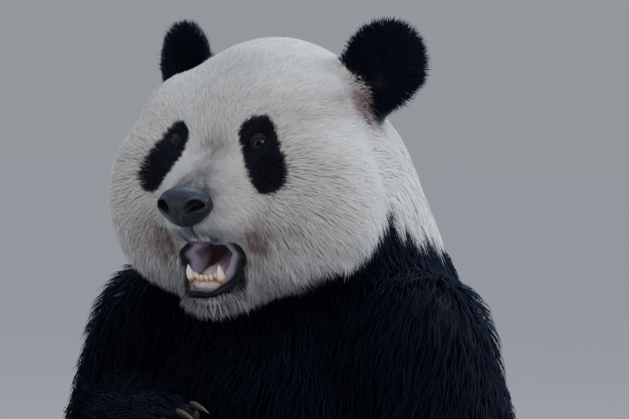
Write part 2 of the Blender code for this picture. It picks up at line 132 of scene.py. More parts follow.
def segment_level(p, stations):
    """Level of a chain of ellipsoids: below 1 inside, 1 on its surface."""
    best = np.full(len(p), 9.0)
    for (c0, r0), (c1, r1) in zip(stations, stations[1:]):
        for t in np.linspace(0, 1, 9):
            c = (1 - t) * np.array(c0) + t * np.array(c1)
            r = (1 - t) * np.array(r0) + t * np.array(r1)
            best = np.minimum(best, np.sqrt(square_level(p, c, r)))
    return best


def placed(name, data):
    """A new object, linked to the scene."""
    obj = bpy.data.objects.new(name, data)
    bpy.context.scene.collection.objects.link(obj)
    return obj


def smooth(mesh):
    mesh.polygons.foreach_set("use_smooth", [True] * len(mesh.polygons))


def mesh_object(name, verts, faces):
    mesh = bpy.data.meshes.new(name)
    mesh.from_pydata([tuple(v) for v in verts], [], [tuple(f) for f in faces])
    mesh.update()
    smooth(mesh)
    return placed(name, mesh)


def applied(obj):
    graph = bpy.context.evaluated_depsgraph_get()
    mesh = bpy.data.meshes.new_from_object(obj.evaluated_get(graph))
    old = obj.data
    obj.modifiers.clear()
    obj.data = mesh
    bpy.data.meshes.remove(old)
    return obj


def remeshed(obj, grain):
    mod = obj.modifiers.new("remesh", "REMESH")
    mod.mode = "VOXEL"
    mod.voxel_size = grain
    return applied(obj)


def read(items, key, width=3, kind=float):
    out = np.empty(len(items) * width, kind)
    items.foreach_get(key, out)
    return out.reshape(-1, width)


def coords(mesh):
    return read(mesh.vertices, "co")


def normals(mesh):
    return read(mesh.vertices, "normal")


def edges_of(mesh):
    return read(mesh.edges, "vertices", 2, int)


def set_coords(mesh, p):
    mesh.vertices.foreach_set("co", np.asarray(p, np.float32).ravel())
    mesh.update()


def spread(values, edges, rounds):
    """Smooths values given at the vertices, over the edges."""
    a, b = edges[:, 0], edges[:, 1]
    start, end = np.r_[a, b], np.r_[b, a]
    count = len(values)
    degree = np.maximum(np.bincount(start, minlength=count), 1)[:, None]
    flat = np.array(values, float).reshape(count, -1)
    for _ in range(rounds):
        total = [np.bincount(start, column[end], minlength=count) for column in flat.T]
        flat = flat + 0.5 * (np.stack(total, axis=1) / degree - flat)
    return flat.reshape(values.shape)


def add_field(mesh, name, values):
    layer = mesh.attributes.new(name, "FLOAT", "POINT")
    layer.data.foreach_set("value", np.asarray(values, np.float32))


# ---- the markings
# Places below are given from HEAD in metres: x to the animal's left, y to its back, z up.

MOUTH_SPACE = [
    ((0, -0.11, -0.15), (0.11, 0.03, 0.04)),
    ((0, -0.055, -0.139), (0.084, 0.02, 0.028)),
    ((0, -0.021, -0.133), (0.043, 0.02, 0.025)),
    ((0, 0.04, -0.119), (0.037, 0.026, 0.012)),
]

PATCH_TOP = ((0.0542, 0.0042), 0.0252)
PATCH_LOW = ((0.075, -0.0285), 0.0262)
PATCH_SQUEEZE = 0.9
PATCH_SHRINK = {"near": -0.001, "far": 0.0064}

# Stains of the white coat: share, centre and radii of each.
BROWN_SPOTS = (
    (1.0, (0.058, -0.026, -0.112), (0.02, 0.04, 0.024)),
    (0.45, (0.074, 0.0, -0.09), (0.032, 0.05, 0.024)),
    (0.95, (0.12, 0.11, 0.044), (0.024, 0.07, 0.026)),
)
BRIDGE_SPOTS = (
    (1.0, (0.003, -0.02, -0.009), (0.018, 0.08, 0.017)),
    (0.75, (0.0, -0.04, -0.034), (0.022, 0.08, 0.014)),
)
UPPER_LIP_SPOTS = ((1.1, (0, -0.08, -0.098), (0.046, 0.08, 0.013)),)
GREY_SPOTS = (
    (0.6, (0, -0.08, -0.045), (0.034, 0.06, 0.01)),
    (0.35, (0, -0.05, -0.03), (0.032, 0.03, 0.009)),
    (0.6, (0, -0.05, -0.062), (0.046, 0.022, 0.026)),
    (0.25, (0.1, 0.02, -0.118), (0.045, 0.07, 0.035)),
)
# Grey on the forehead: partly grey-brown fur, partly painted shade.
FOREHEAD_SPOTS = ((0.3, (0.015, 0.0, 0.075), (0.055, 0.08, 0.04)),)


def eye_patch(q):
    """Distance outside the dark teardrops round the eyes, in metres, from the eye line."""
    m = mirrored(q)
    far = q[:, 0] < 0
    m[:, 0] += far * (0.0026 + 0.0004 * ease(-q[:, 2], -0.005, 0.03)) + ~far * 0.0008
    drop = far * 0.0065 * ease(-q[:, 2], 0.0, 0.03)
    flat = columns(m[:, 0] / PATCH_SQUEEZE, m[:, 2] + drop)
    (ax, az), ra = PATCH_TOP
    (bx, bz), rb = PATCH_LOW
    a, b = np.array([ax / PATCH_SQUEEZE, az]), np.array([bx / PATCH_SQUEEZE, bz])
    t = np.clip(((flat - a) @ (b - a)) / ((b - a) @ (b - a)), 0, 1)
    gap = np.linalg.norm(flat - a - t[:, None] * (b - a), axis=1)
    return gap - (ra + (rb - ra) * t) + np.where(far, PATCH_SHRINK["far"], PATCH_SHRINK["near"])


def darkness(p, n, label_dark, labels):
    """Share of black fur at each place, with a ragged edge."""
    q = p - HEAD
    y, z = q[:, 1], q[:, 2]
    muzzle = is_in(labels, "head", "lower_jaw")
    patch = 1 - ease(eye_patch(q) + 0.0022 * ripple(p, 0.012, 3), -0.0015, 0.0025)
    patch = 0.988 * patch * (y < 0.09) * is_in(labels, "head")
    dark = ease(label_dark + 0.1 * ripple(p, 0.035, 5), 0.4, 0.6)
    dark = np.maximum(dark, is_in(labels, "chest", "upper_arm") & (z > -0.26))
    ear_root = ease(z + 0.003 * ripple(p, 0.02, 7), 0.02, 0.044) ** 0.7
    dark = dark * np.where(is_in(labels, "ear", "head"), ear_root, 1.0)
    ruff = -0.055 - 0.95 * np.clip(y - 0.119, -0.005, 0.036) - 0.25 * np.clip(y - 0.155, 0, 0.3)
    ruff = ruff + 0.007 * ripple(p, 0.03, 6)
    dark = np.maximum(dark, is_in(labels, "neck") * ease(ruff - z, -0.012, 0.012))
    rim = (1 - ease(past_lips(p) + 0.002 * ripple(p, 0.012, 8), 0.001, 0.0085)) * (y < 0.06)
    rim = rim * muzzle * ease(-((p - MOUTH) @ ABOVE), -0.017, -0.001)
    groove = (1 - ease(np.abs(q[:, 0]), 0.0012, 0.0026)) * (np.abs(z + 0.089) < 0.017) * (y < -0.025)
    under = ease(-n[:, 2], 0.45, 0.7) * ease(y, 0.01, 0.04) * muzzle
    return np.maximum.reduce([patch, 0.93 * rim, 0.85 * groove, dark, under])


def stains_and_shade(p, labels):
    """Brown and grey shares of the white coat: stains on the face, below the ears and on the belly, and in
    part painted shade towards the bottom of the face and on the forehead.
    """
    q = p - HEAD
    m, low = mirrored(q), -q[:, 2]
    head = is_in(labels, "head", "lower_jaw", "ear")
    bridge = bumps(q, BRIDGE_SPOTS)
    brown = bumps(m, BROWN_SPOTS) + 0.48 * bridge
    # Towards the bottom of the face the coat is browner, and greyer just below: partly its own grey-brown,
    # partly painted shade.
    brown += 0.3 * ease(low, 0.1, 0.17) + 0.17 * ease(m[:, 0], 0.06, 0.13)
    grey = bumps(q, UPPER_LIP_SPOTS) * ease(past_lips(p), 0.0015, 0.006) + bumps(m, GREY_SPOTS)
    # The low term is the grey of that same mix of real grey-brown and painted shade; the forehead spots are
    # partly grey fur, partly painted shade.
    grey += 0.42 * bridge + 0.8 * ease(low, 0.115, 0.17) + bumps(q, FOREHEAD_SPOTS)
    trunk = is_in(labels, "abdomen", "tail")
    brown = np.where(head, brown, 0.0) + trunk * (0.18 + 0.3 * ease(0.22 - p[:, 2], 0.0, 0.2))
    wave = 1 + 0.35 * ripple(p, 0.02, 31)
    return np.clip(brown * wave, 0, 1), np.clip(grey * head * wave, 0, 1)


# ---- the skin

GRAIN = 0.0062
FLESH_GROWTH = 0.0012
NOSE_TIP = np.array([0.0, -0.07, -0.045])

# Depth of the coat off the skin, then length, width and cover of its tufts, by part.
# The zeros of the head are filled in by coat_depths and hair_plan.
COAT = {
    "head": (0, 0, 0, 11.5),
    "abdomen": (0.025, 0.056, 0.0026, 6.0),
    "chest": (0.025, 0.048, 0.0022, 7.0),
    "neck": (0.022, 0.038, 0.0016, 8.0),
    "upper_arm": (0.024, 0.054, 0.0022, 6.5),
    "forearm": (0.022, 0.05, 0.002, 7.0),
    "forepaw": (0.01, 0.02, 0.0014, 7.0),
    "thigh": (0.024, 0.05, 0.0026, 6.0),
    "shank": (0.018, 0.038, 0.0022, 6.0),
    "hindpaw": (0.009, 0.018, 0.0016, 6.0),
    "tail": (0.018, 0.044, 0.0026, 6.0),
    "ear": (0.01, 0.0165, 0.0008, 9.0),
    "lower_jaw": (0.011, 0.021, 0.0008, 9.5),
}


def flesh_soup():
    """All flesh solids as one mesh, each grown a little so that they meet."""
    soup = bmesh.new()
    for name in FLESH:
        part = bmesh.new()
        part.from_mesh(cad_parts[name].data)
        bmesh.ops.remove_doubles(part, verts=part.verts, dist=1e-5)
        part.normal_update()
        for v in part.verts:
            v.co += v.normal * FLESH_GROWTH
        mesh = bpy.data.meshes.new("part")
        part.to_mesh(mesh)
        part.free()
        soup.from_mesh(mesh)
        bpy.data.meshes.remove(mesh)
    mesh = bpy.data.meshes.new("skin")
    soup.to_mesh(mesh)
    soup.free()
    return placed("skin", mesh)


def flesh_tree():
    points, faces, labels = [], [], []
    for name in FLESH:
        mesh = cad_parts[name].data
        start = len(points)
        points += [v.co.copy() for v in mesh.vertices]
        faces += [[start + i for i in f.vertices] for f in mesh.polygons]
        labels += [LABEL[name]] * len(mesh.polygons)
    return BVHTree.FromPolygons(points, faces), np.array(labels)


MOUTH = HEAD + np.array([0, -0.04, -0.132])
AHEAD = unit([0, -1.0, -0.25])
ABOVE = np.array([0, AHEAD[2], -AHEAD[1]])
TURNS = math.tau * (np.arange(96) + 0.5) / 96


def smooth_loop(loop, rounds):
    for _ in range(rounds):
        loop = (np.roll(loop, 1, 0) + 2 * loop + np.roll(loop, -1, 0)) / 4
    return loop


def lip_line(tree):
    """Crest of the lips all round the mouth, and the way the face runs off from it at each place."""
    crest, off = [], []
    steps = np.arange(0.03, -0.06, -0.001)
    for turn in TURNS:
        way = np.array([math.cos(turn), 0, 0]) + ABOVE * math.sin(turn)
        hits = [tree.ray_cast(Vector(MOUTH + AHEAD * f), Vector(way), 0.075) for f in steps]
        reach = np.array([0.075 if hit[0] is None else hit[3] for hit in hits])
        flat = (reach[:-3] - reach[3:] < 0.0036) & (reach[:-3] < 0.06)
        k = int(np.argmax(flat))
        here = MOUTH + AHEAD * steps[k] + way * reach[k]
        wide = np.nonzero(reach[:k] > reach[k] + 0.008)[0]
        j = wide[-1] if len(wide) else 0
        there = MOUTH + AHEAD * steps[j] + way * min(reach[j], reach[k] + 0.014)
        crest.append(here)
        off.append(unit(there - here))
    crest, off = np.array(crest), np.array(off)
    other = (len(TURNS) // 2 - 1 - np.arange(len(TURNS))) % len(TURNS)
    crest = (crest + crest[other] * [-1, 1, 1]) / 2
    off = off + off[other] * [-1, 1, 1]
    return smooth_loop(crest, 4), unit(smooth_loop(off, 6))


def past_lips(p):
    """Distance of each place outside the crest of the lips, seen from the middle of the mouth."""
    q = p - MOUTH
    x, z = q[:, 0], q @ ABOVE
    turn = np.arctan2(z, x) % math.tau
    rim = CREST - MOUTH
    size = np.hypot(rim[:, 0], rim @ ABOVE)
    at = np.arctan2(rim @ ABOVE, rim[:, 0]) % math.tau
    order = np.argsort(at)
    return np.hypot(x, z) - np.interp(turn, at[order], size[order], period=math.tau)


def claw_names(paw, side):
    return [f"claw_{paw}_{side}_{i}" for i in range(1, 6)]


def lie_of_coat(p, labels):
    """Raw direction in which the coat lies, before it is smoothed over the skin."""
    q = p - HEAD
    low = ease(-q[:, 2], 0.02, 0.12)[:, None]
    crown = ease(q[:, 1], 0.06, 0.16)[:, None]
    trunk = unit(p * [0.8, 0.4, 0] + [0, 0, -1.0])
    ways = {
        "head": unit(q - NOSE_TIP) + low * [0, 0.15, -0.75] + crown * [0, 0.9, -0.25],
        "lower_jaw": unit(q * [1.5, 0, 0] + [0, 0.35, -0.9]),
        "neck": unit(q * [1.2, 0, 0] + [0, 0.25, -1.0]),
        "chest": trunk,
        "abdomen": trunk,
        "tail": [0, 0.6, -1.0],
    }
    for side, sign in (("left", 1), ("right", -1)):
        for limb, sag in ((LIMBS[:3], 0.45), (LIMBS[3:], 0.25)):
            middles = [node_centre(f"{name}_{side}") for name in limb]
            middles.append(np.mean([node_centre(name) for name in claw_names(limb[2], side)], axis=0))
            for i, name in enumerate(limb):
                ways[f"{name}_{side}"] = unit(middles[i + 1] - middles[i]) + [0, 0, -sag * (i < 2)]
        base = node_centre(f"ear_{side}") - [sign * 0.008, 0.0, 0.016]
        ways[f"ear_{side}"] = unit(p - base) + [0, 0.25, 0]
    way = np.zeros_like(p)
    for name, values in ways.items():
        here = is_in(labels, name)
        way[here] = np.broadcast_to(values, p.shape)[here]
    return unit(way)


def coat_values(labels):
    """Depth, length, width and cover of the coat at each place, by the part it grows on."""
    out = np.empty((len(labels), 4))
    for name, values in COAT.items():
        out[is_in(labels, name)] = values
    return out.T


def coat_depths(p, labels):
    """How far the coat stands off the skin, by region, in metres."""
    q = p - HEAD
    m = mirrored(q)
    back = ease(q[:, 1], -0.02, 0.13)
    side = ease(m[:, 0], 0.045, 0.125) * ease(-q[:, 2], -0.03, 0.05)
    short = bump(m, (0.0, -0.035, -0.07), (0.05, 0.05, 0.055))
    eye = bump(m, (0.055, 0.0, 0.0), (0.026, 0.03, 0.028))
    face = (0.008 + 0.008 * back + 0.012 * side) * (1 - 0.62 * np.clip(short + eye, 0, 1))
    return np.where(is_in(labels, "head"), face, coat_values(labels)[0])


def fullness(p, labels):
    """Small corrections of the head's outline, in metres outwards."""
    m = mirrored(p - HEAD)
    more = 0.01 * bump(m, (0.112, -0.005, 0.0), (0.035, 0.045, 0.034))
    less = 0.007 * bump(m, (0.095, 0.01, 0.078), (0.04, 0.05, 0.026))
    return np.where(is_in(labels, "head"), more - less, 0.0)


def build_skin():
    skin = remeshed(flesh_soup(), GRAIN)
    mesh = skin.data
    p = coords(mesh)
    labels, cad = np.empty(len(p), int), np.empty((len(p), 3))
    for i, v in enumerate(p):
        hit = CAD_TREE.find_nearest(v)
        labels[i], cad[i] = FACE_LABELS[hit[2]], hit[0]
    edges = edges_of(mesh)
    q = p - HEAD
    roomy = [(c, np.array(r) + 0.0045) for c, r in MOUTH_SPACE]
    muzzle = is_in(labels, "head", "lower_jaw") & (q[:, 1] > -0.075)
    inside = ((segment_level(q, roomy) < 1.0) & muzzle).astype(float)
    fine = is_in(labels, "lower_jaw", "forepaw", "hindpaw", "ear")
    fine = fine | (is_in(labels, "head") & (q[:, 1] < 0.07))
    fine = np.clip(spread(fine.astype(float), edges, 6), 0, 1)
    calm = spread(p, edges, 5)
    calmer = spread(calm, edges, 24)
    p = calm * fine[:, None] + calmer * (1 - fine[:, None])
    pinned = np.clip(spread(inside, edges, 6) * 3, 0, 1)
    p = p + (cad - p) * pinned[:, None]
    inner = spread(inside, edges, 3)
    by_mouth = np.clip(spread(inside, edges, 9) * 2.2, 0, 1)
    depth = spread(coat_depths(p, labels), edges, 14) * (1 - 0.75 * by_mouth)
    depth = depth * (1 - np.clip(inner * 1.6, 0, 1))
    inset = depth - spread(fullness(p, labels), edges, 4)
    steps = 6
    for _ in range(steps):
        set_coords(mesh, p)
        lie = unit(spread(normals(mesh), edges, 4))
        p = p - lie * (inset / steps)[:, None]
        p = p + (spread(p, edges, 2) - p) * ((0.8 - 0.5 * fine) * (1 - 0.8 * pinned))[:, None]
    p[:, 2] = np.maximum(p[:, 2], 0.0015)
    set_coords(mesh, p)
    dark = is_in(labels, "chest", "ear", *LIMBS).astype(float)
    fields = {
        "labels": labels,
        "depth": depth,
        "dark": spread(dark, edges, 6),
        "flow": spread(lie_of_coat(p, labels), edges, 26),
    }
    smooth(mesh)
    return skin, fields


CAD_TREE, FACE_LABELS = flesh_tree()
CREST, RUN_OFF = lip_line(CAD_TREE)
skin, FIELDS = build_skin()


# ---- the coat

UV_PATCH = 0.003
ROOT_DEPTH = 0.0022
FLOOR_GAP = 0.0006
FIRST_SEED = 1000
LONG_FORM = ("chest", "upper_arm_left", "upper_arm_right", "forearm_right")
# Most triangles that each piece of the coat may have.
LIMITS = {
    "face_left": 196000, "face_right": 150000, "crown_left": 165000, "crown_right": 100000,
    "jaw": 40000, "ears": 110000, "neck": 110000, "chest": 90000, "belly": 90000, "back": 110000,
    "tail": 10000, "upper_arm": 50000, "forearm": 38000, "forepaw": 24000, "thigh": 38000,
    "shank": 24000, "hindpaw": 20000,
}


def unwrapped(p, n, labels):
    """Place of each point on a flat sheet: a tile for each part and each way its surface faces."""
    axis = np.argmax(np.abs(n), axis=1)
    tile = axis * 2 + (n[np.arange(len(n)), axis] > 0)
    uv = np.empty((len(p), 2))
    for name, i in LABEL.items():
        here = labels == i
        low, high = node_box(name)
        t = np.clip((p[here] - (low + high) / 2) / (high - low).max() + 0.5, 0.01, 0.99)
        a = axis[here][:, None]
        flat = np.where(a == 0, t[:, [1, 2]], np.where(a == 1, t[:, [0, 2]], t[:, [0, 1]]))
        uv[here, 0] = (i % 5 + (tile[here] % 3 + 0.03 + 0.94 * flat[:, 0]) / 3) / 5
        uv[here, 1] = (i // 5 + (tile[here] // 3 + 0.03 + 0.94 * flat[:, 1]) / 2) / 4
    return uv


class Pelt:
    """What the coat needs to know of the skin."""

    def __init__(self, skin, fields):
        mesh = skin.data
        mesh.calc_loop_triangles()
        self.tris = read(mesh.loop_triangles, "vertices", 3, int)
        self.p = coords(mesh)
        self.broad = unit(spread(unit(normals(mesh)), edges_of(mesh), 8))
        self.fields = fields
        a, b, c = (self.p[self.tris[:, k]] for k in range(3))
        self.area = np.linalg.norm(np.cross(b - a, c - a), axis=1) / 2
        self.middle = (a + b + c) / 3
        self.label = fields["labels"][self.tris[:, 0]]

    def roots(self, density, seed):
        """Random places on the skin, with so many to the square metre at each triangle."""
        rng = np.random.default_rng(seed)
        want = self.area * density
        count = np.floor(want + rng.random(len(want))).astype(int)
        index = np.repeat(np.arange(len(want)), count)
        u, v = rng.random(len(index)), rng.random(len(index))
        flip = u + v > 1
        u[flip], v[flip] = 1 - u[flip], 1 - v[flip]
        return index, columns(1 - u - v, u, v)

    def at(self, values, index, share):
        corners = values[self.tris[index]]
        return (corners * (share if corners.ndim == 2 else share[:, :, None])).sum(1)


def hair_plan(p, labels, depth):
    """Length along the skin, width and cover of the tufts at each place."""
    q = p - HEAD
    _, length, width, cover = coat_values(labels)
    face = is_in(labels, "head")
    grow = np.clip((depth - 0.0035) / 0.03, 0, 1)
    length[face] = (0.01 + 0.032 * grow)[face]
    width[face] = (0.00055 + 0.0006 * grow)[face]
    patch = face & (eye_patch(q) < 0.004) & (q[:, 1] < 0.09)
    length[patch] *= 0.62
    width[patch] *= 0.85
    cover[patch] = 8.0
    length[is_in(labels, "ear") & (q[:, 2] < 0.05)] *= 0.6
    return length, width, cover


def tuft_mesh(name, roots, lies, norms, labels, length, width, rise, seed, shades):
    """Closed thin spindles, from a point in the skin through one or two rings to a tip."""
    rng = np.random.default_rng(seed)
    count = len(roots)
    side = unit(np.cross(norms, lies))
    lift = rise[:, None] * norms
    run = length[:, None] * lies
    sag = np.array([0, 0, -1.0]) * (length * 0.1)[:, None]
    sway = side * (length * rng.normal(0, 0.05, count))[:, None]
    turn = rng.uniform(0, math.tau / 3, count)
    rings = ((0.4, 1.0), (0.74, 0.72)) if name in LONG_FORM else ((0.45, 1.0),)
    verts, along = [roots - norms * ROOT_DEPTH - lies * 0.002], [0.0]
    for t, scale in rings:
        middle = roots + lift * (1 - (1 - t) ** 3) + run * t + sag * t * t + sway * t
        for k in range(3):
            angle = turn + k * math.tau / 3
            across = side * (np.cos(angle) * width * 0.5 * scale)[:, None]
            up = norms * (np.sin(angle) * width * 0.3 * scale)[:, None]
            verts.append(middle + across + up)
            along.append(t)
    verts.append(roots + lift * 0.94 + run + sag + sway * 2)
    along.append(1.0)
    size = len(verts)
    points = np.stack(verts, axis=1)
    points[:, :, 2] = np.maximum(points[:, :, 2], FLOOR_GAP)
    faces = [(0, 2, 1), (0, 3, 2), (0, 1, 3)]
    if len(rings) == 2:
        for a, b in ((1, 2), (2, 3), (3, 1)):
            faces += [(a, b, b + 3), (a, b + 3, a + 3)]
    tip, ring = size - 1, size - 4
    faces += [(ring, ring + 1, tip), (ring + 1, ring + 2, tip), (ring + 2, ring, tip)]
    corners = (np.arange(count)[:, None, None] * size + np.array(faces)).ravel()
    mesh = bpy.data.meshes.new("coat_" + name)
    mesh.vertices.add(count * size)
    mesh.vertices.foreach_set("co", points.astype(np.float32).ravel())
    mesh.loops.add(len(corners))
    mesh.loops.foreach_set("vertex_index", corners.astype(np.int32))
    mesh.polygons.add(len(corners) // 3)
    mesh.polygons.foreach_set("loop_start", np.arange(0, len(corners), 3, dtype=np.int32))
    mesh.update(calc_edges=True)
    smooth(mesh)
    add_field(mesh, "along", np.tile(along, count))
    for field, values in shades.items():
        add_field(mesh, field, np.repeat(values, size))
    angles = np.arange(size) / size * math.tau
    offsets = columns(0.5 * UV_PATCH * np.cos(angles), 0.5 * UV_PATCH * np.sin(angles))
    sheet = (unwrapped(roots, norms, labels)[:, None, :] + offsets).reshape(-1, 2)
    uv = mesh.uv_layers.new(name="OFBake")
    uv.data.foreach_set("uv", sheet[corners].astype(np.float32).ravel())
    own = normals(mesh).reshape(count, size, 3)
    blend = unit(own * 0.35 + norms[:, None, :] * 0.85 + 0.12 * lies[:, None, :])
    mesh.normals_split_custom_set_from_vertices(blend.reshape(-1, 3).astype(np.float32))
    return placed(mesh.name, mesh)


def bare_places(p, labels):
    """True where no coat grows: eyes, nose, inside of the mouth and pads."""
    out = np.zeros(len(p), bool)
    for s in SIDES:
        out |= square_level(p, EYES[s], [0.012, 0.02, 0.0092]) < 1
    for middle, fore, way, radii in PAD_PLACES:
        gap = p - middle
        x, y, z = gap @ np.cross(fore, way), gap @ fore, gap @ way
        out |= (x / radii[0]) ** 2 + (y / radii[1]) ** 2 + (z / 0.03) ** 2 < 0.9
    face = is_in(labels, "head", "lower_jaw")
    top = ease((p - MOUTH) @ ABOVE, 0.01, 0.016)
    out |= face & (past_lips(p) < -0.001 - 0.0026 * top) & (p[:, 1] < HEAD[1] + 0.06)
    low, high = node_box("nose")
    out |= square_level(p, (low + high) / 2, (high - low) / 2 * [1.02, 1.2, 1.05]) < 1
    return out


def coat_piece(pelt, name, keep, seed, limit):
    """Tufts over one region of the skin, as one closed mesh below the limit of triangles."""
    fields = pelt.fields
    length, width, cover = hair_plan(pelt.middle, pelt.label, fields["depth"][pelt.tris].mean(1))
    density = cover / (length * width) * keep
    expected = (density * pelt.area).sum() * (12 if name in LONG_FORM else 6)
    if expected > limit:
        density = density * (limit / expected)
        width = width * math.sqrt(expected / limit)
    index, share = pelt.roots(density, seed)
    p = pelt.at(pelt.p, index, share)
    good = ~bare_places(p, pelt.label[index])
    index, share, p = index[good], share[good], p[good]
    labels, count, q = pelt.label[index], len(p), p - HEAD
    rng = np.random.default_rng(seed + 1)
    n = unit(pelt.at(pelt.broad, index, share))
    lie = pelt.at(fields["flow"], index, share)
    lie = lie + 0.16 * columns(*[ripple(p, 0.045, wave) for wave in (11, 12, 13)])
    lie = lie + rng.normal(0, 0.1, (count, 3))
    lie = unit(lie - (lie * n).sum(1)[:, None] * n)
    hair = length[index] * rng.uniform(0.62, 1.12, count)
    rise = pelt.at(fields["depth"], index, share) * (1.0 - 0.6 * rng.random(count) ** 1.7)
    brown, grey = stains_and_shade(p, labels)
    head = is_in(labels, "head")
    throat = head * ease(-n[:, 2], 0.55, 0.75) * (p[:, 1] > HEAD[1])
    hair = hair * (1 - 0.6 * throat)
    fringe = head * ease((p - MOUTH) @ ABOVE, 0.012, 0.02) * (p[:, 1] < HEAD[1] + 0.02)
    fringe = fringe * ease(0.012 - past_lips(p), 0.0, 0.008)
    hair = hair + 0.006 * fringe
    # Painted light: the tint is raised on the bridge of the nose, so the white coat there is lighter, as
    # where strong light falls on it. The rest of the tint is each tuft's own tone.
    bridge = np.exp(-((q[:, 0] + 0.012) / 0.03) ** 2 - ((q[:, 2] + 0.03) / 0.045) ** 2)
    bridge = bridge * head * (q[:, 1] < 0.02)
    tint = 0.5 + 0.5 * bridge + 0.15 * rng.normal(size=count) + 0.16 * ripple(p, 0.022, 21)
    shades = {"mark": darkness(p, n, pelt.at(fields["dark"], index, share), labels),
              "tint": np.clip(tint, 0, 1), "brown": brown, "grey": grey}
    wide = width[index] * rng.uniform(0.7, 1.2, count)
    return tuft_mesh(name, p, lie, n, labels, hair, wide, rise, seed + 2, shades)


def coat_regions(pelt):
    """Which triangles of the skin each piece of the coat grows on."""
    head, belly = is_in(pelt.label, "head"), is_in(pelt.label, "abdomen")
    face = pelt.middle[:, 1] - HEAD[1] < 0.035
    left = pelt.middle[:, 0] > 0
    back = pelt.middle[:, 1] > 0.13
    regions = {
        "face_left": head & face & left,
        "face_right": head & face & ~left,
        "crown_left": head & ~face & left,
        "crown_right": head & ~face & ~left,
    }
    for name, part in (("jaw", "lower_jaw"), ("ears", "ear"), ("neck", "neck"), ("chest", "chest")):
        regions[name] = is_in(pelt.label, part)
    regions.update(belly=belly & ~back, back=belly & back, tail=is_in(pelt.label, "tail"))
    for part in (f"{limb}_{side}" for side in SIDES for limb in LIMBS):
        regions[part] = is_in(pelt.label, part)
    return regions


def build_coat(skin, fields):
    pelt = Pelt(skin, fields)
    for i, (name, keep) in enumerate(coat_regions(pelt).items()):
        limit = LIMITS.get(name) or LIMITS[name.rsplit("_", 1)[0]]
        yield coat_piece(pelt, name, keep, FIRST_SEED + 10 * i, limit)


# ---- nose, eyes, mouth, claws and pads

UP = np.array([0, 0, 1.0])


def frame_of(origin, right, front, up):
    """Matrix that takes local x, y, z to the given directions."""
    m = Matrix(columns(right, front, up).tolist()).to_4x4()
    m.translation = Vector(origin)
    return m


def facing(origin, way):
    """Matrix of a place whose front, local -y, looks along the given way."""
    way = unit(way)
    up = unit(UP - way * way[2])
    return frame_of(origin, np.cross(-way, up), -way, up)


def to_world(points, matrix):
    m = np.array(matrix)
    return np.asarray(points) @ m[:3, :3].T + m[:3, 3]


def circle(sides):
    return np.arange(sides) / sides * math.tau


def pairs(count):
    """Each number with the next, the last with the first."""
    return [(i, (i + 1) % count) for i in range(count)]


def closed_grid(count, sides):
    """Quads of a grid that closes both ways."""
    return [(i * sides + k, j * sides + k, j * sides + n, i * sides + n)
            for i, j in pairs(count) for k, n in pairs(sides)]


def tube(rings):
    """A closed mesh through rings of points."""
    sides = len(rings[0])
    verts = [p for ring in rings for p in ring]
    end, last = len(verts), len(verts) - sides
    faces = [(a + k, a + n, a + sides + n, a + sides + k)
             for a in range(0, last, sides) for k, n in pairs(sides)]
    for k, n in pairs(sides):
        faces += [(end, n, k), (end + 1, last + k, last + n)]
    return verts + [np.mean(rings[0], axis=0), np.mean(rings[-1], axis=0)], faces


def joined_mesh(name, parts):
    verts, faces = [], []
    for v, f in parts:
        start = len(verts)
        verts += list(v)
        faces += [tuple(start + i for i in face) for face in f]
    return mesh_object(name, verts, faces)


def ring_path(centres, wide, high, across, upward, sides):
    """Elliptic rings round the points of a path."""
    t = circle(sides)[:, None]
    across, upward = (np.broadcast_to(way, np.shape(centres)) for way in (across, upward))
    return [c + np.cos(t) * a * w + np.sin(t) * u * h
            for c, w, h, a, u in zip(centres, wide, high, across, upward)]


def ball_mesh(level):
    bm = bmesh.new()
    bmesh.ops.create_icosphere(bm, subdivisions=level, radius=1.0)
    verts = np.array([v.co for v in bm.verts])
    faces = [tuple(v.index for v in f.verts) for f in bm.faces]
    bm.free()
    return verts, faces


def powered(v, power):
    """Coordinates raised to a power, with their sign kept; below 1 it squares a ball."""
    return np.sign(v) * np.abs(v) ** power


def build_nose():
    """The nose pad; nostrils are laid out in millimetres, seen from in front."""
    low, high = node_box("nose")
    centre, half = (low + high) / 2, (high - low) / 2
    d, faces = ball_mesh(6)
    x, y, z = d.T
    narrow = 1 - 0.42 * np.clip(-z - 0.1, 0, 1) ** 1.1
    px = powered(x, 0.86) * half[0] * 1.02 * narrow
    pz = z * half[2] * np.where(z > 0, 0.96, 1.04)
    py = y * half[1] * (1.1 - 0.1 * z)
    front = ease(-y, 0.05, 0.45)
    u, w = px / 0.001, pz / 0.001
    side = np.abs(u)
    tilt = math.radians(22)
    su, sw = side - 19.6, w - 0.2
    long_way = su * math.cos(tilt) + sw * math.sin(tilt)
    short_way = -su * math.sin(tilt) + sw * math.cos(tilt) + 0.022 * long_way ** 2
    hole = np.sqrt((long_way / 13.0) ** 2 + (short_way / (6.6 + 0.09 * long_way)) ** 2)
    pit = 1 - ease(hole, 0.45, 1.0)
    rim = bell(hole - 1.18, 0.2)
    slit = bell(short_way + 7.0 + 0.05 * (long_way - 9) ** 2, 1.5) * ease(long_way, 2, 8)
    groove = bell(u, 1.3) * ease(-w, -4.0, 6.0)
    py = py + (pit * 0.0125 * front - rim * 0.0016 * front + groove * 0.002 * front + slit * 0.0018 * front)
    pz = pz + pit * 0.003 * front
    wing = np.exp(-((side - 27) / 7) ** 2 - ((w - 1) / 9) ** 2)
    px = px + np.sign(px) * wing * 0.0012
    obj = mesh_object("nose_pad", columns(px, py, pz) + centre, faces)
    wet = bell(hole - 1.08, 0.16)
    add_field(obj.data, "pit", pit * front)
    add_field(obj.data, "moist", wet * front * ease(-short_way, -1, 3))
    # high: 0 at the bottom of the pad, 1 at its top; the leather gets lighter and bluer with it, a painted
    # highlight of the light from above.
    add_field(obj.data, "high", np.clip(z * 0.5 + 0.5, 0, 1))
    obj.modifiers.new("thin", "DECIMATE").ratio = 0.3
    return applied(obj)


BALL_RADIUS = 0.0125
LID_TURNS, LID_STEPS = 72, 22


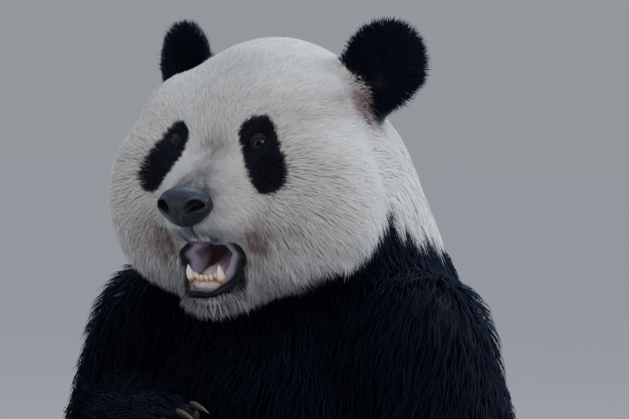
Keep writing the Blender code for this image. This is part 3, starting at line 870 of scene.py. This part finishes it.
def build_eye(side):
    sign = 1 if side == "left" else -1
    d, faces = ball_mesh(5)
    angle = np.degrees(np.arccos(np.clip(-d[:, 1], -1, 1)))
    swell = 1 + 0.055 * (1 - ease(angle, 8, 36))
    ball = mesh_object(f"eyeball_{side}", d * (BALL_RADIUS * swell)[:, None], faces)
    ball.matrix_world = facing(EYES[side], [0.18 + sign * 0.22, -0.95, -0.02])
    phi = circle(LID_TURNS)
    cos, sin = np.cos(phi), np.sin(phi)
    tall = np.where(sin > 0, math.radians(31), math.radians(25))
    edge_x = math.radians(52) * cos
    edge_y = tall * sin * (1 - 0.3 * cos ** 2) - sign * math.radians(4) * -cos
    edge, around = np.hypot(edge_x, edge_y), np.arctan2(edge_y, edge_x)
    rings = []
    for s in (i / LID_STEPS for i in range(LID_STEPS + 1)):
        reach = edge + (math.radians(80) - edge) * s ** 1.15
        fold = 0.00055 * np.sin(s * 21.0) * np.clip(sin, 0, 1) * ease(s, 0.16, 0.3)
        fold = fold + 0.0004 * np.sin(s * 17.0) * np.clip(-sin, 0, 1) * (0.15 < s < 0.75)
        r = 0.01262 + 0.001 * ease(s, 0.0, 0.13) + 0.0002 * np.sin(s * math.pi) - 0.0024 * s ** 2
        flat = columns(np.sin(reach) * np.cos(around), -np.cos(reach), np.sin(reach) * np.sin(around))
        rings.append(flat * (r + fold)[:, None])
    rings += [ring * 0.93 for ring in reversed(rings)]
    verts = to_world(np.concatenate(rings), facing(EYES[side], [sign * 0.46, -0.88, 0.02]))
    return ball, mesh_object(f"eyelids_{side}", verts, closed_grid(len(rings), LID_TURNS))


JAW = Matrix.Translation(HEAD + np.array([0, -0.02, -0.16])) @ Matrix.Rotation(math.radians(30), 4, "X")
PALATE = Matrix.Translation(HEAD + np.array([0, -0.027, -0.092]))
GUM_WIDTH, GUM_LENGTH = 0.034, 0.062


def gum(name, matrix, up):
    a = math.pi * np.arange(73) / 72
    x, y = GUM_WIDTH * np.cos(a), GUM_LENGTH * (1 - np.sin(a) ** 0.7)
    path = columns(x, y, np.full(len(a), -0.004 * up))
    across = np.cross(unit(np.gradient(path, axis=0)), UP)
    swell = 1 + 0.05 * np.cos(a * 30) + 0.03 * np.sin(a * 47 + 1)
    ends = np.clip(np.minimum(a, math.pi - a) / 0.12, 0.15, 1) ** 0.5
    v, f = tube(ring_path(path, 0.0062 * swell * ends, 0.007 * ends, across, UP, 18))
    return mesh_object(name, to_world(v, matrix), f)


def tooth_spike(points, radii):
    points = np.array(points, float)
    t, u = np.linspace(0, 1, 15), np.linspace(0, 1, len(points))
    path = columns(*[np.interp(t, u, points[:, k]) for k in range(3)])
    path = np.concatenate([path[:1], (path[:-2] + path[1:-1] * 2 + path[2:]) / 4, path[-1:]])
    r = np.interp(t, u, radii) * np.sqrt(np.clip(1 - t ** 9, 0.02, 1))
    return tube(ring_path(path, r * 0.8, r, [1.0, 0, 0], [0, 1.0, 0], 16))


def tooth_block(centre, radii, up, cusps):
    d, faces = ball_mesh(3)
    x, y, z = d.T
    v = columns(powered(x, 0.75), powered(y, 0.75), powered(z, 0.8))
    top = ease(z * up, 0.1, 0.9)
    v[:, 2] += up * top * (0.22 * cusps * (np.cos(x * 5.5) * np.cos(y * 5.5)) - 0.12 * cusps)
    return v * np.asarray(radii) + np.asarray(centre), faces


def teeth(name, matrix, up):
    """Incisors, canines and cheek teeth of one jaw; the lower canines are the longer."""
    fang = (0.015, 0.0215) if up > 0 else (0.011, 0.0155)
    parts = []
    for side in (1, -1):
        for i in range(3):
            middle = (side * (0.003 + 0.0056 * i), 0.0008 + 0.0012 * i * i, 0.0045 * up)
            v, f = tooth_block(middle, (0.0026, 0.0023, 0.0074), up, 0.0)
            v[:, 1] -= 0.0016 * (v[:, 2] * up / 0.012)
            parts.append((v, f))
        points = [(0.0203, 0.0065, -0.002), (0.0207, 0.004, 0.007), (0.0211, 0.0038, fang[0]),
                  (0.0212, 0.0062, fang[1])]
        points = [(side * x, y, z * up) for x, y, z in points]
        parts.append(tooth_spike(points, (0.0058, 0.0056, 0.0036, 0.0009)))
        for i in range(1, 4):
            parts.append(tooth_block((side * (0.027 + 0.002 * i), 0.021 + 0.0125 * i, 0.0035 * up),
                                     (0.0044, 0.0062, 0.0062), up, 1.0))
    obj = joined_mesh(name, [(to_world(v, matrix), f) for v, f in parts])
    tall = np.concatenate([np.asarray(v)[:, 2] * up for v, f in parts])
    add_field(obj.data, "crown", np.clip(tall / 0.02, 0, 1))
    return obj


def build_tongue():
    at = [0.0, 0.006, 0.016, 0.045, 0.085, 0.105]
    a = circle(36)
    top = np.clip(np.sin(a), 0, 1)
    rings = []
    for y in np.interp(np.linspace(0, 1, 44), [0, 1], [0.104, 0.003]):
        x = np.cos(a) * np.interp(y, at, [0.004, 0.0115, 0.016, 0.0185, 0.02, 0.012])
        z = np.sin(a) * np.interp(y, at, [0.0016, 0.0048, 0.007, 0.0098, 0.012, 0.004])
        z = z - 0.01 * ease(y, 0.015, 0.06)
        z = z - top * 0.0024 * bell(x, 0.0035)
        z = z - top * 0.0006 * np.cos(y * 900) * bell(x, 0.012)
        rings.append(columns(x, np.full(len(a), y), z - 0.001))
    v, f = tube(rings)
    obj = mesh_object("tongue_body", to_world(v, JAW), f)
    obj.modifiers.new("smooth", "SUBSURF").levels = 1
    return applied(obj)


def rounded(points, rounds):
    """Cuts the corners of a closed outline, again and again."""
    for _ in range(rounds):
        after = np.roll(points, -1, 0)
        points = columns(points * 0.75 + after * 0.25, points * 0.25 + after * 0.75)
        points = points.reshape(-1, points.shape[2])
    return points


def build_lips():
    """The lips and the inside of the cheeks: dark at the edge, lilac within."""
    rings = []
    for turn, crest, out in zip(TURNS, CREST, RUN_OFF):
        gap = crest - MOUTH
        inward = -unit(gap - AHEAD * (gap @ AHEAD))
        up = math.sin(turn)
        corner = ease(abs(math.cos(turn)), 0.3, 0.8)
        low, top = ease(-up, 0.35, 0.8), ease(up, 0.35, 0.8)
        face = unit(AHEAD - out * (out @ AHEAD) + inward * 0.25)
        plump = 0.001 + 0.001 * low - 0.004 * top
        skirt = 0.0036 - 0.003 * top
        # Steps from the crest, each with its share of lining: outwards, then in and back.
        outline = [
            (out * skirt - face * 0.003, 0.0),
            (out * skirt * 0.55 + face * (0.0004 + plump * 0.3), 0.06),
            (out * 0.0015 + face * plump * 1.6, 0.16),
            (inward * 0.002 + face * plump * 1.3, 0.3 + 0.1 * low),
            (inward * (0.004 + 0.001 * corner) - AHEAD * (0.003 - 0.0035 * corner), 0.5 + 0.12 * low),
            (inward * (0.0042 + 0.0058 * corner) - AHEAD * (0.007 - 0.0072 * corner), 0.72),
            (inward * (0.003 + 0.012 * corner) - AHEAD * (0.011 - 0.01 * corner), 0.86),
            (inward * (0.001 + 0.018 * corner) - AHEAD * (0.015 - 0.011 * corner), 0.95),
            (inward * 0.021 * corner - AHEAD * (0.018 + 0.002 * corner), 1.0),
            (inward * (-0.004 + 0.023 * corner) - AHEAD * (0.018 + 0.02 * corner), 1.0),
            (-inward * 0.003 - AHEAD * 0.012, 0.6),
            (out * skirt * 0.5 - face * 0.006, 0.1),
        ]
        # Along the top of the mouth the lining is held at one dark lilac from edge to inside: partly the
        # lip's own dark colour, partly painted shade under the upper lip.
        outline = [[*(crest + step), lining * (1 - 0.42 * top) + 0.62 * top * (1 - lining)]
                   for step, lining in outline]
        rings.append(rounded(np.array(outline), 2))
    rings = np.array(rings)
    points = rings[:, :, :3].reshape(-1, 3)
    obj = mesh_object("lips", points, closed_grid(*rings.shape[:2]))
    mesh = obj.data
    bm = bmesh.new()
    bm.from_mesh(mesh)
    bmesh.ops.recalc_face_normals(bm, faces=bm.faces)
    bm.to_mesh(mesh)
    bm.free()
    crease = ripple(points * [1, 1, 0.45], 0.007, 41) * 0.00035 + ripple(points, 0.016, 42) * 0.0005
    set_coords(mesh, points + unit(normals(mesh)) * crease[:, None])
    add_field(mesh, "lining", rings[:, :, 3].ravel())
    return obj


def claw_spine(name):
    """Ring middles of a CAD claw from its base to its tip, with radii and its wide direction."""
    points = np.unique(np.round(coords(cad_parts[name].data), 6), axis=0)
    middle = node_centre(name.replace("claw_", "").rsplit("_", 1)[0])
    tip = points[np.argmax(np.linalg.norm(points - middle, axis=1))]
    far = np.argsort(np.linalg.norm(points - tip, axis=1))
    groups = [points[far[k:k + 5]] for k in (11, 6, 1)]
    centres = [g.mean(0) for g in groups]
    _, _, axes = np.linalg.svd(groups[0] - centres[0])
    radii = [np.linalg.norm((g - c) @ axes[0]) / 1.58 for g, c in zip(groups, centres)]
    return np.array([*centres, tip]), np.array([*radii, 0.0004]), axes[0]


CLAW_RINGS, CLAW_SIDES = 18, 14


def build_claws(paw, side):
    t, u = np.linspace(0, 1, CLAW_RINGS), np.linspace(0, 1, 4)
    parts = []
    for name in claw_names(paw, side):
        points, radii, wide = claw_spine(name)
        path = columns(*[np.polyval(np.polyfit(u, points[:, k], 3), t) for k in range(3)])
        r = np.maximum(np.polyval(np.polyfit(u, radii, 2), t), 0.0004) * np.where(t > 0.95, 0.7, 1.0)
        way = unit(np.gradient(path, axis=0))
        up = unit(wide - way * (way @ wide)[:, None])
        parts.append(tube(ring_path(path, r * 0.68, r * 1.02, np.cross(way, up), up, CLAW_SIDES)))
    obj = joined_mesh(f"claws_{paw}_{side}", parts)
    add_field(obj.data, "along", np.tile(np.append(np.repeat(t, CLAW_SIDES), [0, 1]), len(parts)))
    return obj


PAD_GRAIN = 0.0018


def pad_places(paw, side):
    """Middle and radii (sideways, ahead, out) of each pad, and the paw's axes."""
    spines = [claw_spine(name)[0] for name in claw_names(paw, side)]
    bases, tips = (np.array([s[k] for s in spines]) for k in (0, 3))
    middle = bases.mean(0)
    ahead = unit(middle - node_centre(f"{paw}_{side}"))
    droop = (tips - bases).mean(0)
    palm = unit(droop - ahead * (droop @ ahead))
    across = np.cross(ahead, palm)
    places = [(b - ahead * 0.016, (0.0115, 0.0135, 0.012)) for b in bases]
    big = 0.036 if paw == "hindpaw" else 0.038
    for k in (-1, -0.5, 0, 0.5, 1):
        place = middle - ahead * (0.052 + 0.004 * abs(k)) + across * k * big
        places.append((place, (0.0165, 0.0155, 0.0125)))
    if paw == "forepaw":
        inner = across * (1 if across[0] * middle[0] < 0 else -1)
        places.append((middle - ahead * 0.08 + inner * 0.034, (0.012, 0.017, 0.011)))
        places.append((middle - ahead * 0.094 - inner * 0.026, (0.013, 0.012, 0.0105)))
    return places, ahead, palm


def build_pads(tree):
    """Bare pads under each paw, and the places that they keep free of coat."""
    pads, free = [], []
    for paw, side in [(paw, side) for paw in PAWS for side in SIDES]:
        places, ahead, palm = pad_places(paw, side)
        parts = []
        for middle, radii in places:
            hit, normal, _, _ = tree.ray_cast(Vector(middle + palm * 0.09), Vector(-palm), 0.16)
            if hit is None:
                continue
            hit = np.array(hit)
            out = unit(np.array(normal) * 0.6 + palm * 0.4)
            fore = unit(ahead - out * (ahead @ out))
            v, f = ball_mesh(3)
            turn = frame_of(hit - out * 0.002, np.cross(fore, out), fore, out)
            parts.append((to_world(powered(v, 0.9) * radii, turn), f))
            free.append((hit, fore, out, radii))
        obj = remeshed(joined_mesh(f"pads_{paw}_{side}", parts), PAD_GRAIN)
        mesh = obj.data
        p = spread(coords(mesh), edges_of(mesh), 4)
        p[:, 2] = np.maximum(p[:, 2], 0.001)
        set_coords(mesh, p)
        smooth(mesh)
        pads.append(obj)
    return pads, free


SKIN_FACES = [tuple(f.vertices) for f in skin.data.polygons]
SKIN_TREE = BVHTree.FromPolygons([v.co for v in skin.data.vertices], SKIN_FACES)
PADS, PAD_PLACES = build_pads(SKIN_TREE)


# ---- materials

class Nodes:
    """A small helper for node materials."""

    def __init__(self, name, world=None):
        self.owner = world or bpy.data.materials.new(name)
        self.owner.use_nodes = True
        self.tree = self.owner.node_tree
        self.shader = self.tree.nodes["Background" if world else "Principled BSDF"]

    def put(self, value, socket):
        """Sets a number or colour, or links an output."""
        if isinstance(value, tuple):
            value = (*value, 1)
        if isinstance(value, (int, float, tuple)):
            socket.default_value = value
        else:
            self.tree.links.new(value, socket)

    def add(self, kind, **values):
        node = self.tree.nodes.new("ShaderNode" + kind)
        for key, value in values.items():
            if hasattr(node, key):
                setattr(node, key, value)
            else:
                self.put(value, node.inputs[key])
        return node

    def field(self, name):
        return self.add("Attribute", attribute_name=name).outputs["Fac"]

    def place(self):
        return self.add("TexCoord").outputs["Object"]

    def ramp(self, value, *stops):
        """Colour ramp; a stop given as one number is grey."""
        node = self.add("ValToRGB")
        ramp = node.color_ramp
        while len(ramp.elements) < len(stops):
            ramp.elements.new(0.5)
        for element, (at, colour) in zip(ramp.elements, stops):
            element.position = at
            element.color = (*(colour if isinstance(colour, tuple) else (colour,) * 3), 1)
        self.put(value, node.inputs["Fac"])
        return node.outputs["Color"]

    def mix(self, share, a, b, kind="MIX"):
        node = self.add("Mix", data_type="RGBA", blend_type=kind)
        self.put(share, node.inputs[0])
        self.put(a, node.inputs[6])
        self.put(b, node.inputs[7])
        return node.outputs[2]

    def math(self, kind, a, b):
        node = self.add("Math", operation=kind)
        self.put(a, node.inputs[0])
        self.put(b, node.inputs[1])
        return node.outputs[0]

    def wobble(self, value, noise, amount):
        """The value moved up and down a little by a noise."""
        return self.math("ADD", value, self.math("MULTIPLY", self.math("SUBTRACT", noise, 0.5), amount))

    def noise(self, scale, detail=3.0):
        return self.add("TexNoise", Vector=self.place(), Scale=scale, Detail=detail,
                        Roughness=0.55).outputs["Fac"]

    def relief(self, height, strength, distance):
        node = self.add("Bump", Height=height, Strength=strength, Distance=distance)
        self.put(node.outputs["Normal"], self.shader.inputs["Normal"])

    def done(self, colour, **values):
        """The material, once the colour and other values of its shader are set."""
        self.put(colour, self.shader.inputs[0])
        for key, value in values.items():
            self.put(value, self.shader.inputs[key.replace("_", " ")])
        return self.owner


def fur_material():
    m = Nodes("coat")
    # tint: each tuft's own tone, raised on the bridge of the nose as painted light.
    tint = m.field("tint")
    white = m.ramp(tint, (0.0, (0.5, 0.465, 0.42)), (0.45, (0.7, 0.675, 0.64)), (1.0, (0.84, 0.825, 0.8)))
    # Black coat: near black, its own colour, with a blue cast that is a painted reflection of the sky; the
    # tint varies it from tuft to tuft.
    black = m.ramp(tint, (0.0, (0.003, 0.0037, 0.009)), (0.6, (0.0046, 0.0056, 0.0142)),
                   (1.0, (0.0072, 0.0088, 0.0205)))
    # Painted shade: the white coat is darker towards the root of each tuft, where the coat shades itself.
    root = m.ramp(m.field("along"), (0.0, (0.82, 0.8, 0.77)), (0.5, 0.97), (1.0, 1.0))
    white = m.mix(1.0, white, root, "MULTIPLY")
    # grey and brown: stains of the coat, and in places painted shade (bottom of the face, forehead).
    white = m.mix(m.field("grey"), white, (0.135, 0.14, 0.165))
    white = m.mix(m.field("brown"), white, (0.19, 0.13, 0.12))
    return m.done(m.mix(m.field("mark"), white, black), Roughness=0.7, Specular_IOR_Level=0.05,
                  Sheen_Weight=0.02, Sheen_Tint=(0.55, 0.65, 1.0), Sheen_Roughness=0.5)


def skin_material():
    m = Nodes("skin")
    inner, noise = m.field("inner"), m.noise(60.0)
    white = m.ramp(noise, (0.3, (0.48, 0.45, 0.41)), (0.7, (0.58, 0.55, 0.51)))
    black = m.ramp(noise, (0.3, (0.0012, 0.0012, 0.002)), (0.7, (0.003, 0.003, 0.005)))
    wet = m.ramp(noise, (0.3, (0.15, 0.075, 0.085)), (0.7, (0.27, 0.155, 0.17)))
    wet = m.mix(m.field("deep"), wet, (0.4, 0.24, 0.27))
    colour = m.mix(m.field("mark"), white, black)
    colour = m.mix(m.ramp(inner, (0.02, 0), (0.15, 1)), colour, (0.01, 0.009, 0.012))
    colour = m.mix(m.ramp(inner, (0.45, 0), (0.9, 1)), colour, wet)
    m.relief(noise, 0.4, 0.002)
    return m.done(colour, Roughness=0.7)


def nose_material():
    m = Nodes("nose leather")
    # Painted highlight: the leather is lighter and bluer towards the top of the pad, where the light from
    # above falls.
    leather = m.ramp(m.field("high"), (0.25, (0.006, 0.0075, 0.012)), (0.62, (0.008, 0.01, 0.017)),
                     (0.92, (0.018, 0.023, 0.042)))
    leather = m.mix(m.math("MULTIPLY", m.noise(900.0), 0.5), leather, (0.012, 0.013, 0.017))
    colour = m.mix(m.ramp(m.field("pit"), (0.25, 0), (0.8, 1)), leather, (0.012, 0.003, 0.004))
    cells = m.add("TexVoronoi", Vector=m.place(), Scale=620.0)
    m.relief(cells.outputs["Distance"], 0.6, 0.001)
    return m.done(colour, Roughness=m.ramp(m.field("moist"), (0.2, 0.5), (0.8, 0.16)),
                  Specular_IOR_Level=0.28, Coat_Weight=0.12, Coat_Roughness=0.2)


def eyeball_material():
    m = Nodes("eyeball")
    split = m.add("SeparateXYZ", Vector=m.place())
    squares = [m.math("MULTIPLY", split.outputs[axis], split.outputs[axis]) for axis in "XZ"]
    away = m.math("MULTIPLY", m.math("SQRT", m.math("ADD", *squares), 0.5), 80.0)
    away = m.wobble(away, m.noise(700.0, 2.0), 0.05)
    colour = m.ramp(away, (0.0, 0.001), (0.21, (0.001, 0.001, 0.0012)), (0.26, (0.017, 0.012, 0.01)),
                    (0.44, (0.03, 0.021, 0.018)), (0.52, (0.008, 0.006, 0.006)), (0.6, 0.002),
                    (0.8, (0.01, 0.009, 0.01)), (1.0, (0.05, 0.046, 0.05)))
    return m.done(colour, Roughness=0.4, Specular_IOR_Level=0.0, Coat_Weight=1.0, Coat_IOR=1.24,
                  Coat_Roughness=0.03)


def hide_material(name, dark, light, scale, rough, coat, relief, shine=0.5):
    """Bare skin with grain: lids, pads, gums, tongue."""
    m = Nodes(name)
    m.relief(m.noise(scale * 6, 2.0), 0.5, relief)
    return m.done(m.ramp(m.noise(scale), (0.32, dark), (0.68, light)), Roughness=rough,
                  Coat_Weight=coat, Specular_IOR_Level=shine, Coat_Roughness=0.18)


def lip_material():
    m = Nodes("lips")
    value = m.wobble(m.field("lining"), m.noise(130.0), 0.18)
    colour = m.ramp(value, (0.0, (0.002, 0.002, 0.003)), (0.42, (0.005, 0.005, 0.008)),
                    (0.58, (0.05, 0.042, 0.062)), (0.75, (0.22, 0.185, 0.245)), (1.0, (0.3, 0.23, 0.28)))
    m.relief(m.noise(500.0), 0.4, 0.0008)
    return m.done(colour, Roughness=m.ramp(value, (0.3, 0.6), (0.6, 0.34)),
                  Specular_IOR_Level=0.16, Coat_Weight=0.06, Coat_Roughness=0.22)


def tooth_material():
    m = Nodes("enamel")
    noise = m.noise(160.0)
    colour = m.ramp(m.wobble(m.field("crown"), noise, 0.35), (0.0, (0.2, 0.075, 0.02)),
                    (0.22, (0.48, 0.26, 0.09)), (0.42, (0.72, 0.62, 0.46)), (0.9, (0.82, 0.78, 0.68)))
    m.relief(noise, 0.25, 0.0005)
    return m.done(colour, Roughness=0.28, Coat_Weight=0.5, Coat_Roughness=0.08)


def claw_material():
    m = Nodes("claw horn")
    streak = m.noise(420.0, 4.0)
    colour = m.ramp(m.wobble(m.field("along"), streak, 0.3), (0.0, (0.03, 0.024, 0.02)),
                    (0.55, (0.055, 0.042, 0.032)), (1.0, (0.17, 0.135, 0.1)))
    m.relief(streak, 0.3, 0.0006)
    return m.done(colour, Roughness=0.36)


# ---- everything in its place

def dress(obj, material, slot, *nodes):
    obj.data.materials.clear()
    obj.data.materials.append(material)
    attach(obj, "root")
    if nodes:
        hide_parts(*nodes)


def mark_skin():
    """Gives the skin the markings of the coat and the colours round the mouth."""
    mesh, labels = skin.data, FIELDS["labels"]
    p = coords(mesh)
    mark = darkness(p, normals(mesh), FIELDS["dark"], labels)
    crease = (p[:, 2] < HEAD[2] - 0.055) & (p[:, 1] > HEAD[1] + 0.005)
    add_field(mesh, "mark", np.where(crease, np.clip(spread(mark, edges_of(mesh), 8) * 3, 0, 1), mark))
    within = is_in(labels, "head", "lower_jaw") & (p[:, 1] < HEAD[1] + 0.07)
    above = ease((p - MOUTH) @ ABOVE, 0.008, 0.016)
    add_field(mesh, "inner", within * ease(0.004 - 0.008 * above - past_lips(p), 0, 0.018))
    add_field(mesh, "deep", ease(-((p - MOUTH) @ AHEAD), 0.04, 0.085))


FUR = fur_material()
for piece in build_coat(skin, FIELDS):
    marks = read(piece.data.attributes["mark"].data, "value", 1)
    dress(piece, FUR, "coat_black" if marks.mean() > 0.5 else "coat_white")
mark_skin()
dress(skin, skin_material(), "coat_white", *FLESH)
dress(build_nose(), nose_material(), "nose_leather", "nose")
BALL = eyeball_material()
LIDS = hide_material("lids", (0.0025, 0.0027, 0.0045), (0.009, 0.0095, 0.015), 240.0, 0.55, 0.0, 0.0006, 0.2)
PAD = hide_material("pads", (0.009, 0.008, 0.009), (0.024, 0.021, 0.021), 180.0, 0.62, 0.0, 0.0014, 0.3)
GUMS = hide_material("gums", (0.36, 0.24, 0.27), (0.58, 0.44, 0.46), 90.0, 0.3, 0.6, 0.0008)
TONGUE = hide_material("tongue", (0.46, 0.33, 0.39), (0.62, 0.5, 0.56), 260.0, 0.38, 0.3, 0.0012)
ENAMEL, HORN = tooth_material(), claw_material()
for side in SIDES:
    ball, lids = build_eye(side)
    dress(ball, BALL, "eye", f"eye_{side}")
    dress(lids, LIDS, "coat_black")
    for paw in PAWS:
        dress(build_claws(paw, side), HORN, "claw", *claw_names(paw, side))
JAWS = (("lower", JAW, 1), ("upper", PALATE, -1))
for jaw, matrix, up in JAWS:
    dress(gum(f"gum_{jaw}", matrix, up), GUMS, "gum", f"{jaw}_teeth")
for jaw, matrix, up in JAWS:
    dress(teeth(f"teeth_in_{jaw}_jaw", matrix, up), ENAMEL, "gum")
dress(build_lips(), lip_material(), "gum")
dress(build_tongue(), TONGUE, "tongue", "tongue")
for pad in PADS:
    dress(pad, PAD, "nose_leather")


# ---- stage, light and camera

VIEW_AZIMUTH = math.radians(32)
VIEW_HEIGHT = math.radians(2)
VIEW_DISTANCE = 4.035
EYES_IN_VIEW = (-0.116, 0.0764)
# Place, size, power and colour of each light.
LIGHTS = {
    "key": ((-0.7, 0.5, 3.4), 1.8, 56, (0.74, 0.87, 1.0)),
    "rim": ((2.0, 1.9, 2.5), 1.5, 155, (0.68, 0.83, 1.0)),
    "side": ((2.9, -1.3, 2.4), 1.8, 58, (1.0, 0.97, 0.96)),
    "front": ((-2.0, -2.9, 1.4), 2.0, 20, (1.0, 0.97, 0.93)),
}
HORIZON, ZENITH = (0.633, 0.678, 0.768), (0.9, 0.98, 1.15)


def turned(obj, location, rotation):
    obj.location = location
    obj.rotation_mode = "QUATERNION"
    obj.rotation_quaternion = rotation


def build_lights():
    for name, (place, size, power, colour) in LIGHTS.items():
        data = bpy.data.lights.new(name, "AREA")
        data.shape = "DISK"
        data.size, data.energy, data.color = size, power, colour
        turned(placed(name, data), place, (Vector(HEAD) - Vector(place)).to_track_quat("-Z", "Y"))


def build_floor():
    floor = mesh_object("floor", [(-30, -30, 0), (30, -30, 0), (30, 30, 0), (-30, 30, 0)], [(0, 1, 2, 3)])
    m = Nodes("floor")
    noise = m.add("TexNoise", Scale=3.0)
    colour = m.ramp(noise.outputs["Fac"], (0.0, 0.7), (1.0, (0.74, 0.735, 0.73)))
    floor.data.materials.append(m.done(colour, Roughness=0.85))
    floor.data.shade_flat()


def build_sky():
    m = Nodes("sky", bpy.data.worlds.new("studio"))
    bpy.context.scene.world = m.owner
    split = m.add("SeparateXYZ", Vector=m.add("TexCoord").outputs["Generated"])
    m.done(m.ramp(split.outputs["Z"], (0.0, HORIZON), (0.8, ZENITH)), Strength=0.5)


def build_camera():
    data = bpy.data.cameras.new("camera")
    data.sensor_width, data.lens = 36.0, 200.0
    camera = placed("camera", data)
    a, e = VIEW_AZIMUTH, VIEW_HEIGHT
    look = Vector((math.sin(a) * math.cos(e), -math.cos(a) * math.cos(e), math.sin(e)))
    turn = (-look).to_track_quat("-Z", "Y")
    right, up = turn @ Vector((1, 0, 0)), turn @ Vector((0, 1, 0))
    anchor = Vector(EYE_MID) + Vector((0, -0.0125, 0))
    target = anchor - right * EYES_IN_VIEW[0] - up * EYES_IN_VIEW[1]
    turned(camera, target + look * VIEW_DISTANCE, turn)
    bpy.context.scene.camera = camera


build_floor()
build_sky()
build_lights()
build_camera()
